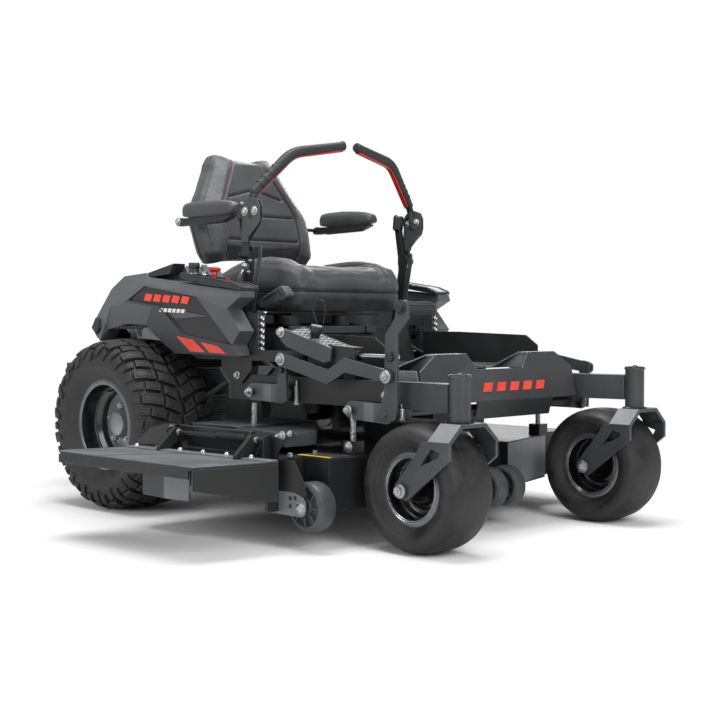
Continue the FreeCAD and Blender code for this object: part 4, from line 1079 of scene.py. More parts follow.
def addArmrest(side):
    name, body = sides[side], "arm_" + sides[side]
    rings = []
    for x, wide, low, high in ((106, 17, 908, 940), (114, 21, 904, 947), (140, 23, 902, 950),
            (210, 23, 902, 952), (290, 23, 902, 948), (330, 23, 902, 943), (352, 21, 905, 936),
            (360, 17, 909, 928)):
        outline = [(-wide + 3, low), (wide - 3, low), (wide, low + 5), (wide, high - 14),
            (wide - 5, high - 4), (wide - 12, high), (-wide + 12, high), (-wide + 5, high - 4),
            (-wide, high - 14), (-wide, low + 5)]
        rings.append([(x, side * 295 + y, z) for y, z in outline])
    pad = makePiece("armrest_pad_" + name, loftRings(rings), seatVinyl, body, 180)
    pad.parent = None
    pad.matrix_world = Matrix.Identity(4)
    swell(pad, armPad, (235, side * 295, 924))
    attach(pad, body)
    bar = [(72, 882), (82, 878), (300, 882), (342, 896), (342, 901.5), (118, 901.5), (86, 904), (74, 900)]
    low, high = sorted((side * 283, side * 307))
    shapes = [pushOutline(bar, low, high), pushOutline([(132, 876), (300, 880), (330, 892), (132, 890)],
        *span(side, 288, 302))]
    arm = makePiece("armrest_bracket_" + name, joinShapes(shapes), darkPlastic, body, 24, 2.0)
    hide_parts("armrest_" + name)
    addPiece("armrest_bolt_" + name, boltHead((85, side * 307, 892), (0, side, 0), 15, 8, True,
        True), zincPlate, body, 30)


addSeatCushion()
addSeatBack()
for side in (-1, 1):
    addArmrest(side)
print("seat made")

# --- lap bars: moulded grips with a red inner strip, bolted pear plates, adjuster bars, damper rods

lapGrip = {"radius": 15.5, "strip": 8.6}


def sweepOval(route, wide, tall, reference, offset=(0, 0), around=18):
    spots = [Vector(p) for p in route]
    points, faces = [], []
    for i, p in enumerate(spots):
        ahead = (spots[min(i + 1, len(spots) - 1)] - spots[max(i - 1, 0)]).normalized()
        up = Vector(reference)
        up = (up - ahead * up.dot(ahead)).normalized()
        aside = ahead.cross(up)
        w = wide[i] if isinstance(wide, list) else wide
        t = tall[i] if isinstance(tall, list) else tall
        for k in range(around):
            a = 2 * pi * k / around
            u, v = cos(a), sin(a)
            u, v = abs(u) ** 0.75 * (1 if u >= 0 else -1), abs(v) ** 0.75 * (1 if v >= 0 else -1)
            points.append(at(*(p + aside * (u * w + offset[0]) + up * (v * t + offset[1]))))
    for i in range(len(spots) - 1):
        for k in range(around):
            m = (k + 1) % around
            faces.append((i * around + k, i * around + m, (i + 1) * around + m, (i + 1) * around + k))
    faces.append(tuple(range(around - 1, -1, -1)))
    last = (len(spots) - 1) * around
    faces.append(tuple(range(last, last + around)))
    return points, faces


def roundedRoute(route, bend, steps=6):  # straight runs with round corners
    spots = [Vector(p) for p in route]
    out = [spots[0]]
    for a, b, c in zip(spots, spots[1:], spots[2:]):
        one, two = (a - b).normalized(), (c - b).normalized()
        for k in range(steps + 1):
            t = k / steps
            out.append((b + one * bend) * (1 - t) ** 2 + b * 2 * t * (1 - t) + (b + two * bend) * t ** 2)
    out.append(spots[-1])
    return out


def addLapBar(side):
    name, body, base = sides[side], "lap_handle_" + sides[side], "lap_base_" + sides[side]
    lower, elbow, tip = Vector((474, side * 335, 956)), Vector((509, side * 212, 1080)), Vector((538.4,
        side * 29, 1112.4))
    run = roundedRoute([lower, elbow, tip], 34, 8)
    inward = Vector((0, -0.45 * side, -1))
    radii = [lapGrip["radius"] * (0.86 if i in (0, len(run) - 1) else 1.0) for i in range(len(run))]
    sleeve = sweepOval(run, radii, [r * 0.98 for r in radii], inward)
    ends = []
    for p, q in ((run[0], run[1]), (run[-1], run[-2])):
        way = (p - q).normalized()
        ends.append(sweepRound([p - way * 3, p + way * 1.5, p + way * 3.4], [15, 14.4, 11], 20))
    lobes = []
    for k in range(4):
        p = lower + (elbow - lower) * (0.2 + 0.13 * k)
        way = (elbow - lower).normalized()
        lobes.append(sweepRound([p - way * 5, p - way * 2, p + way * 2, p + way * 5],
            [15.6, 16.6, 16.6, 15.6], 20, False))
    addPiece("lap_grip_" + name, [sleeve] + ends + lobes, gripRubber, body, 40)
    ribbon = [lower + (elbow - lower) * 0.06] + run[1:-1] + [tip + (elbow - tip) * 0.04]
    strip = sweepOval(ribbon, lapGrip["strip"], 5.0, inward, (0, lapGrip["radius"] - 2.2))
    addPiece("lap_grip_strip_" + name, strip, redPlastic, body, 50)
    plate = [(441, 812), (469, 812), (473, 826), (517, 862), (523, 880), (523, 912), (512, 932), (490, 940),
        (470, 938), (452, 926), (445, 908), (446, 880)]
    shape = joinShapes([pushOutline(plate, *span(side, 349, 352.6)),
        pushOutline(plate, *span(side, 340.6, 342))])
    addPiece("lap_plate_" + name, shape, greyPowderCoat, body, 20, 1.2)
    channel = [pushOutline([(434, 784), (457, 784), (440, 884), (418, 884)], *span(side, 335, 338)),
               pushOutline([(434, 784), (437, 784), (421, 884), (418, 884)], *span(side, 327, 341)),
               pushOutline([(454, 784), (457, 784), (440, 884), (437, 884)], *span(side, 327, 341)),
               sweepRound([(424, side * 334, 876), (426, side * 334, 882), (430, side * 334, 922),
               (432, side * 334, 928)], [10, 17, 17, 12], 28),
               pushOutline([(426, 892), (462, 892), (466, 918), (430, 918)], *span(side, 329, 340))]
    addPiece("lap_channel_" + name, channel, blackPowderCoat, body, 20, 0.8)
    domes = [boltHead((x, side * y, z), (0, side * w, 0), 17, 8, True, True) for x,
        z in ((458, 901), (501, 901)) for y, w in ((352.6, 1), (340.6, -1))]
    addPiece("lap_domes_" + name, domes, zincPlate, body, 30)
    pins = [boltHead((x, side * 334, z), (0, side, 0), 9, 5, True, True) for x,
        z in ((446, 792), (462, 760), (454, 726))]
    pins.append(boltHead((418, side * 344, 551), (0, side, 0), 16, 8, True))
    addPiece("lap_bolts_" + name, pins, zincPlate, base, 30)
    holes = [turnProfile([(0, 0.2), (side * 0.5, 0.3), (side * 0.5, 5.2), (side * 1.2, 6.0),
        (side * 1.2, 7.2), (0, 7.6)], (x, side * 334, z), "y", 24) for x, z in ((441, 664), (437, 640),
        (432, 616))]
    addPiece("lap_holes_" + name, holes, pipingVinyl, base, 40)
    bar = pushOutline([(452, 604), (466, 602), (500, 770), (500, 800), (486, 802), (484, 772)],
        *span(side, 322, 325.4))
    addPiece("lap_adjuster_" + name, bar, greyPowderCoat, base, 20, 1.0)
    route = roundedRoute([(420, side * 352, 640), (423, side * 352, 684), (440, side * 348, 722),
        (449, side * 342, 742)], 12, 5)
    rod = [sweepRound(route, 4.6, 14), boltHead((449, side * 346, 744), (0, side, 0), 13, 7, True, True)]
    addPiece("lap_damper_rod_" + name, rod, brightSteel, base, 40)
    knuckle = [sweepRound([(444, side * 340, 728), (447, side * 340, 736), (450, side * 340, 746),
        (452, side * 340, 752)], [6, 11.5, 11.5, 6], 18)]
    for k in range(5):
        p = Vector((426 + 3.4 * k, side * 350, 690 + 7.2 * k))
        knuckle.append(sweepRound([p - Vector((1, 0, 2)), p + Vector((1, 0, 2))], 7.4, 16))
    addPiece("lap_knuckle_" + name, knuckle, fenderPlastic, base, 40)


for side in (-1, 1):
    addLapBar(side)


# --- work lights, hand lever, height lever knob with its wire loop

def addLight(side):
    name, body = sides[side], "light_" + sides[side]
    rings, glass, reflectors = [], [], []
    for k in range(6):
        centre = (0, side * 373, 503 + 17.8 * k)
        rings.append(turnProfile([(552, 10.4), (556.4, 10.2), (557, 9.6), (553, 9.2)], centre, "x", 28))
        reflectors.append(turnProfile([(556.4, 9.4), (554, 6.4), (552.6, 3.0), (552.8, 0.2)], centre, "x",
            28))
        glass.append(turnProfile([(554, 5.4), (556.6, 4.6), (558, 2.6), (558.4, 0.1)], centre, "x", 24))
    frameBars = [pushOutline([(519, 488), (553, 488), (553, 493), (519, 493)], *span(side, 361, 385)),
        pushOutline([(519, 606), (553, 606), (553, 611), (519, 611)], *span(side, 361, 385))]
    for a, b in ((361, 363.4), (382.6, 385)):
        frameBars.append(pushOutline([(520, 490), (554, 490), (554, 610), (520, 610)],
            *sorted((side * a, side * b))))
    fins = []
    for k in range(17):
        z = 494 + k * 6.8
        fins.append(pushOutline([(497, z), (521, z), (521, z + 1.8), (497, z + 1.2)],
            *span(side, 360, 386)))
    addPiece("light_rings_" + name, rings + frameBars + fins, greyPowderCoat, body, 30)
    addPiece("light_reflectors_" + name, reflectors, brightSteel, body, 60)
    addPiece("light_lenses_" + name, glass, lampLens, body, 60)
    arm = [pushOutline([(452, 536), (480, 536), (480, 552), (452, 552)], *span(side, 366, 380)),
        pushOutline([(452, 520), (458, 520), (458, 568), (452, 568)], *span(side, 352, 388))]
    addPiece("light_arm_" + name, arm, blackPowderCoat, "chassis", 20, 1.0)
    addPiece("light_arm_bolts_" + name, [boltHead((468, side * 380, 544), (0, side, 0), 11, 6)],
        zincPlate, "chassis", 30)


for side in (-1, 1):
    addLight(side)


def addHandLever():
    outline = [(474, 632), (478, 643), (504, 655), (540, 670), (571, 683), (583, 682), (600, 666),
        (607, 655), (601, 648), (590, 645),
               (582, 638), (572, 641), (560, 635), (550, 628), (540, 631), (529, 625), (520, 618),
                   (509, 621), (498, 616), (486, 621)]
    grip = pushOutline(outline, -320, -289)
    piece = makePiece("hand_lever_grip", grip, leverRubber, "brake", 25, 5.0)
    stem = [sweepRound(roundedRoute([(470, -304, 566), (476, -304, 614), (500, -304, 636)], 10, 5), 7, 16),
        turnProfile([(-314, 0.2), (-314, 14), (-294, 14), (-294, 0.2)], (470, 0, 566), "y", 32)]
    steel = makePiece("hand_lever_stem", joinShapes(stem), blackPowderCoat, "brake", 36)
    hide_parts("brake_lever")
    line = pushOutline([(500, 646), (560, 671), (574, 672), (590, 656), (584, 652), (570, 664), (560, 664),
        (502, 640)], -321.2, -319)
    addPiece("hand_lever_inlay", line, gripRubber, "brake", 25, 1.0)


# moulded lever rubber: mid grey and matt, with only a faint painted highlight on its edges
leverRubber = makeFinish("leverRubber", {"dark": "#37393b", "light": "#444649", "edge": "#6a6c6f",
    "edgeShare": 0.3, "cloudMm": 40, "grainMm": 1.2, "rough": (0.46, 0.6), "bump": 0.25, "speckle": 0.2})
addHandLever()


def addHeightSelector():
    a, b = Vector((718, 0, 550)), Vector((908, 0, 498))
    along = (b - a).normalized()
    normal = Vector((-along.z, 0, along.x))
    low, high = -431, -365
    strands, frameBars = [], []
    long = (b - a).length

    def onPlate(s, y, lift):  # the cover leans up towards the middle of the machine
        p = a + along * s + normal * (lift + (y - low) * 0.2)
        return Vector((p.x, y, p.z))
    pitch, half = 15.0, 1.5
    for lean in (-1, 1):
        for k in range(-6, 20):
            s0 = k * pitch
            p, q = [s0, low], [s0 + lean * (high - low) * 0.62, high]
            if lean < 0:
                p[0], q[0] = s0 + (high - low) * 0.62, s0
            lo, hi = min(p[0], q[0]), max(p[0], q[0])
            if hi < 6 or lo > long - 6:
                continue
            t0 = 0.0 if 6 <= p[0] <= long - 6 else ((6 if p[0] < 6 else long - 6) - p[0]) / (q[0] - p[0])
            t1 = 1.0 if 6 <= q[0] <= long - 6 else ((6 if q[0] < 6 else long - 6) - p[0]) / (q[0] - p[0])
            s1, y1 = p[0] + (q[0] - p[0]) * t0, low + (high - low) * t0
            s2, y2 = p[0] + (q[0] - p[0]) * t1, low + (high - low) * t1
            strands.append(sweepRound([onPlate(s1, y1, 2.4), onPlate(s2, y2, 2.4)], half, 6))
    cover = [onPlate(s, y, lift) for lift in (-1.5, 0.4) for s, y in ((2, low), (long - 2, low),
        (long - 2, high), (2, high))]
    frameBars.append(([at(*p) for p in cover], boxFaces))
    for y in (low, high):
        frameBars.append(sweepRound([onPlate(4, y, 2.2), onPlate(long - 4, y, 2.2)], 2.6, 8))
    for s in (4, long - 4):
        frameBars.append(sweepRound([onPlate(s, low, 2.2), onPlate(s, high, 2.2)], 2.6, 8))
    addPiece("selector_mesh", strands, meshSteel, "chassis", 60)
    skirt = [(706, 566), (716, 528), (740, 512), (884, 472), (908, 478), (912, 512)]
    frameBars.append(pushOutline(skirt, -444, -440.2))
    frameBars.append(pushOutline([(712, 560), (724, 520), (880, 478), (896, 484), (904, 500), (724, 550)],
        -436, -432))
    addPiece("selector_skirt", frameBars, greyPowderCoat, "chassis", 30, 1.2)
    tube = turnProfile([(900, 12.6), (900, 15.4), (984, 15.4), (986, 14.4), (986, 12.6)], (0, -410, 491),
        "x", 32, True)
    clampBox = pushOutline([(884, 500), (982, 494), (984, 514), (886, 520)], -430, -392)
    addPiece("selector_tube", [tube, clampBox], blackPowderCoat, "chassis", 36)
    addPiece("selector_bolts", [boltHead((716, -444, 552), (0, -1, 0), 18, 9)], zincPlate,
        "chassis", 30)
    top = a + along * 84 + normal * 44

    def knobAt(lift):
        return a + along * 84 + normal * lift + Vector((0, -398, 0))
    knob = [sweepRound([knobAt(lift) for lift in (8, 14, 40, 44)], [10, 12.5, 18.5, 16], 28)]
    addPiece("height_pin_knob", knob, darkPlastic, "selector_pin", 50)
    loop = smoothRoute([(top.x + 2, -398, top.z + 1), (790, -394, 620), (806, -388, 640), (822, -384, 634),
        (826, -382, 610), (820, -382, 580), (818, -382, 560)], 8)
    addPiece("height_pin_wire", sweepRound(loop, 1.3, 8), blackPowderCoat, "selector_pin", 60)


# galvanised steel mesh: pale, dull grey with a fine mottle
meshSteel = makeFinish("meshSteel", {"dark": "#8a8c8f", "light": "#a8aaac", "cloudMm": 24, "grainMm": 1.0,
    "rough": (0.35, 0.5), "bump": 0.12, "speckle": 0.35, "metal": 0.3})
addHeightSelector()
print("controls made")

# --- lift linkage: crank offset faces and plates in lighter coats as painted highlights, pivot caps, zinc bolts, ribbed foot peg

def addLinkage():
    facets, caps, bolts, rearFacets, rearCaps, rearBolts = [], [], [], [], [], []
    greyFaces = {"front_crank": [], "rear_crank": []}
    for side in (-1, 1):
        for pivot, hanger, mid, store, capStore, boltStore in ((1092, 951, 347.5, facets, caps, bolts),
                (697, 554, 382, rearFacets, rearCaps, rearBolts)):
            third = (pivot - hanger) / 3
            a, b = hanger + third * 0.95, pivot - third * 0.95
            y0, y1 = side * 405.3, side * 422.3
            lobeA = [(hanger + 24 * cos(t), (349 if pivot > 1000 else 382) + 24 * sin(t))
                for t in [pi / 2 + pi * k / 12 for k in range(13)]] + [(a, mid - 24.2), (a, mid + 24.2)]
            lobeB = [(pivot + 26 * cos(t), (346 if pivot > 1000 else 382) + 26 * sin(t))
                for t in [-pi / 2 + pi * k / 12 for k in range(13)]] + [(b, mid + 24.2), (b, mid - 24.2)]
            plates = greyFaces["front_crank" if pivot > 1000 else "rear_crank"]
            plates.append(pushOutline(lobeA, *sorted((y0, y0 + side * 1.4))))
            plates.append(pushOutline(lobeB, *sorted((y1, y1 + side * 1.4))))
            quad = [at(a, y0, mid - 24.4), at(b, y1, mid - 24.4), at(b, y1, mid + 24.4),
                at(a, y0, mid + 24.4)]
            quad += [p + Vector((0, side * 0.0014, 0)) for p in quad]
            store.append((quad, slabFaces))
            z = 346 if pivot > 1000 else 382
            capStore.append(turnProfile([(side * 422, 17), (side * 427, 16.4), (side * 429.5, 14),
                (side * 430, 0.2)], (pivot, 0, z), "y", 36) if side < 0 or pivot < 1000
                else turnProfile([(side * 430.4, 15), (side * 434, 14), (side * 435, 0.2)], (pivot, 0, z),
                "y", 36))
            zh = 349 if pivot > 1000 else 382
            boltStore.append(boltHead((hanger, side * 420, zh), (0, side, 0), 17, 9, True, False, 3))
    for store, capStore, boltStore, body in ((facets, caps, bolts, "front_crank"),
            (rearFacets, rearCaps, rearBolts, "rear_crank")):
        # painted highlight: the offset faces take the lighter coat and the plates the lighter crank coat
        addPiece(body + "_highlight_faces", store, lightPowderCoat, body, 30)
        addPiece(body + "_highlight_plates", greyFaces[body], crankHighlightCoat, body, 30)
        if body == "front_crank":
            capStore.append(turnProfile([(-431.2, 13), (-437, 12.4), (-439, 10), (-439.2, 0.2)],
                (1113, 0, 492), "y", 30))
        else:
            for side in (-1, 1):
                capStore.append(turnProfile([(side * 431.2, 9), (side * 437, 8.6), (side * 439, 7),
                    (side * 439.2, 0.2)], (706, 0, 448), "y", 6))
        addPiece(body + "_caps", capStore, blackPowderCoat, body, 36)
        addPiece(body + "_bolts", boltStore, zincPlate, body, 30)
    ends = []
    for side in (-1, 1):
        for x, z in ((711, 478), (1106, 442)):
            ends.append(boltHead((x, side * 441.2, z), (0, side, 0), 21, 9, True, False, 3))
    addPiece("link_bolts", ends, zincPlate, "lift_link", 30)
    ribs = [turnProfile([(-420, 0.2), (-420, 14.2), (-417, 15), (-321, 15), (-317, 14.2), (-316, 0.2)],
        (1150, 0, 616), "y", 40)]
    for k in range(12):
        a = 2 * pi * k / 12
        p = (1150 + 15.2 * cos(a), -416, 616 + 15.2 * sin(a))
        ribs.append(sweepRound([p, (p[0], -321, p[2])], 1.6, 8))
    addPiece("foot_peg_sleeve", ribs, gripRubber, "front_crank", 40)
    stack = [boltHead((1150, -431, 616), (0, -1, 0), 22, 9, True),
        turnProfile([(-423, 0.2), (-423, 15), (-419.6, 15)], (1150, 0, 616), "y", 30)]
    addPiece("foot_peg_nut", stack, blackPowderCoat, "front_crank", 30)


# painted highlight on the cranks: the frame powder coat a shade lighter, with the same fine orange peel
crankHighlightCoat = makeFinish("crankHighlightCoat", {"dark": "#4a4c4f", "light": "#56585c", "edge": "#8f9295",
    "cloudMm": 120, "grainMm": 1.6, "rough": (0.36, 0.48), "bump": 0.12, "speckle": 0.18, "metal": 0.25})
addLinkage()


# --- cutting deck: hinge brackets, rear baffle, screws, hanger rods, wheel brackets, belt cover

chuteScrews = {"y": -706, "first": 412, "pitch": 92, "count": 6}


def addDeckDetails():
    plates = [pushOutline([(316, 236), (326, 244), (383, 284), (467, 301), (505, 300), (511, 292),
        (510, 236)], -639, -635),
              pushOutline([(832, 235), (887, 284), (966, 312), (992, 300), (992, 292), (945, 280),
              (905, 235)], -639, -635)]
    plates.append(pushOutline([(-666, 235), (-635, 235), (-635, 300), (-650, 300), (-664, 288)], 511, 515,
        "yz"))
    plates.append(pushOutline([(-666, 235), (-635, 235), (-635, 300), (-650, 300), (-664, 288)], 828, 832,
        "yz"))
    addPiece("chute_brackets", plates, blackPowderCoat, "deck", 20, 1.0)
    slope = ([at(x, y, z) for x, y, z in ((513, -636, 298), (826, -636, 298), (826, -604, 238),
        (513, -604, 238), (513, -634, 300), (826, -634, 300), (826, -600, 240), (513, -600, 240))],
             slabFaces)
    addPiece("chute_back_panel", slope, greyPowderCoat, "deck", 20, 1.0)
    spring = []
    for k in range(241):
        a = 2 * pi * k / 12
        spring.append((700 + k * 0.5, -655 + 8.6 * cos(a), 281 + 8.6 * sin(a)))
    addPiece("chute_hinge_spring", sweepRound(spring, 1.5, 6), blackPowderCoat, "deck", 60)
    hardware = [boltHead((486, -640, 286), (0, -1, 0), 15, 8), boltHead((938, -639, 296), (0, -1, 0), 14, 8,
        True, False, 12), boltHead((966, -639, 302), (0, -1, 0), 10, 6)]
    for side in (-1, 1):
        y = side * 400
        rod = [turnProfile([(268, 7.4), (344, 7.4), (345, 0.2)], (951, y, 0), "z", 24),
            turnProfile([(290.4, 7.4), (350, 7.4)], (554, y, 0), "z", 24)]
        for x, rows in ((951, (272, 284, 318)), (554, (293, 304, 330))):
            for z in rows:
                rod.append(boltHead((x, y, z), (0, 0, 1), 15, 7, False))
        hardware += rod
        hardware.append(boltHead((952, y + side * 20, 252), (0, side, 0), 19, 8, True, True))
    for y in (-560, -470):
        hardware.append(boltHead((880, y, 233.4), (0, 0, 1), 13, 7))
    addPiece("deck_hardware", hardware, zincPlate, "deck", 30)
    hood = [pushOutline([(596, -502), (660, -504), (846, -546), (852, -470), (842, -430), (700, -298),
        (596, -298)], 252, 288.6, "xy")]
    hood.append(pushOutline([(398, -502), (600, -502), (600, -197), (398, -197)], 287, 291.4, "xy"))
    addPiece("belt_cover_right", hood, deckLid, "deck", 20, 3.0)
    skin = [[(905, 232), (962, 232), (1002, 172), (1002, 143), (905, 143)],
        [(905, 143), (905, 102), (925, 102), (940, 143)]]
    flange = [pushOutline(outline, -621, -617.5) for outline in skin]
    flange.append(pushOutline([(-655, 228), (-661, 228), (-661, 236), (-655, 238)], 900, 906, "yz"))
    addPiece("deck_corner", flange, blackPowderCoat, "deck", 20, 1.0)
    lid = pushOutline([(870, -528), (990, -528), (990, -448), (870, -448)], 233.2, 235, "xy")
    strip = pushOutline([(882, -538), (960, -534), (1000, -538), (998, -524), (884, -522)], 235.2, 236.4,
        "xy")
    addPiece("deck_plain_label", [strip], plainYellow, "deck", 20)
    addPiece("deck_corner_lid", lid, deckLid, "deck", 20, 0.6)
    brackets, squares, bolts = [], [], []
    for side in (-1, 1):
        low, high = sorted((side * 620.2, side * 622.4))
        brackets.append(pushOutline([(866, 93), (985, 92), (1000, 97), (1005, 112), (1004, 130), (996, 142),
            (960, 152), (866, 152)], low, high))
        for x, z in ((944, 132), (944, 112), (962, 134)):
            squares.append(pushOutline([(x, z), (x + 10, z), (x + 10, z + 10), (x, z + 10)],
                *span(side, 622.3, 622.9)))
        bolts.append(boltHead((985, side * 622.4, 115), (0, side, 0), 22, 10, True, True))
    addPiece("scalp_brackets", brackets, lightPowderCoat, "deck", 20, 1.4)
    addPiece("scalp_square_holes", squares, pipingVinyl, "deck", 20)
    addPiece("scalp_bolts", bolts, zincPlate, "deck", 30)


def addChute():
    sheetEdge = [(957, -672), (916, -910), (352, -912), (332, -900), (330, -880), (380, -703)]
    sheetTop = pushOutline(sheetEdge, 233.1, 234.6, "xy")
    # painted highlight: a thin sheet in a lighter copy of the chute rubber over the chute's top
    addPiece("chute_top_sheet", sheetTop, chutePaintedHighlightTop, "chute", 20, 1.6)
    fold = [pushOutline([(520, -908), (526, -906), (642, -700), (636, -700)], 234.5, 235.4, "xy")]
    addPiece("chute_crease", fold, gripRubber, "chute", 20, 0.6)
    strip = pushOutline([(382, -693), (382, -724), (956, -702), (956, -671)], 234.6, 238.2, "xy")
    addPiece("chute_clamp_strip", strip, lightPowderCoat, "chute", 20, 1.0)
    screws = []
    for k in range(chuteScrews["count"]):
        x = chuteScrews["first"] + k * chuteScrews["pitch"]
        screws.append(boltHead((x, -706 + (x - 382) * 0.042, 238.2), (0, 0, 1), 12, 7, True, True))
    for x in (530, 850):
        screws.append(boltHead((x + 6.4, -655, 281), (1, 0, 0), 12, 5, True))
    addPiece("chute_screws", screws, zincPlate, "chute", 30)
    panels = [pushOutline([(519, 120), (612, 118), (612, 226.6), (519, 226.6)], -763, -759)]
    addPiece("chute_deflector_rear", panels, greyPowderCoat, "chute", 20, 1.0)
    panels = [pushOutline([(613, 118), (716, 120), (720, 160), (716, 226.6), (613, 226.6)], -765, -760)]
    addPiece("chute_deflector_front", panels, lightPowderCoat, "chute", 20, 1.0)


# enamelled deck covers: smoother than the frame coat, so they shine a little more
deckLid = makeFinish("deckLid", {"dark": "#3b3d40", "light": "#494b4e", "edge": "#7c7e81", "edgeShare": 0.5,
    "cloudMm": 150, "grainMm": 1.6, "rough": (0.3, 0.42), "bump": 0.12, "speckle": 0.2})
# the chute's rubber sheet painted lighter on top, a painted highlight from the overhead light: the grain is
# drawn coarse enough to show
chutePaintedHighlightTop = makeFinish("chutePaintedHighlightTop", {"dark": "#515356", "light": "#64666a", "edge": "#8b8d90", "edgeMm": 2.0,
    "edgeShare": 0.5, "cloudMm": 130, "grainMm": 3.2, "cells": True, "rough": (0.42, 0.62), "bump": 0.5,
    "bumpMm": 0.5, "speckle": 0.3})
addDeckDetails()
addChute()


def addScalpWheels():
    def wheel(radius, half, x, y):
        rows = [(-half, 9), (-half, 22), (-half + 10, 25), (-half + 12, 44), (-half, radius - 14),
            (-half + 1, radius - 8), (-half + 6, radius - 2), (-half + 12, radius), (half - 12, radius),
            (half - 6, radius - 2), (half - 1, radius - 8), (half, radius - 14), (half - 12, 44),
            (half - 10, 25), (half, 22), (half, 9)]
        tread = turnProfile(rows, (x, y, 115), "y", 72)
        spokes = []
        for k in range(8):
            a = 2 * pi * k / 8
            for s in (-1, 1):
                outline = [(24, -2), (radius - 12, -2), (radius - 12, 2), (24, 2)]
                ring = [(x + r * cos(a) - t * sin(a), 115 + r * sin(a) + t * cos(a)) for r, t in outline]
                spokes.append(pushOutline(ring, *sorted((y + s * (half - 12), y + s * (half - 2)))))
        return joinShapes([tread] + spokes)
    for side in (-1, 1):
        piece = makePiece("scalp_wheel_" + sides[side], wheel(63.5, 29, 985, side * 580), wheelPlastic,
            "scalp_" + sides[side], 30)
        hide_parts("antiscalp_wheel_" + sides[side])
    piece = makePiece("scalp_rollers_pair", joinShapes([wheel(58, 25, 1060, 28), wheel(58, 25, 1060, 106)]),
        wheelPlastic, "scalp_rollers", 30)
    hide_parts("antiscalp_rollers")


addScalpWheels()


# --- front guard, frame and caster hardware

guardBadge = {"bars": 5, "first": -92, "last": 176, "wide": 36, "lean": 12, "low": 391, "high": 415}


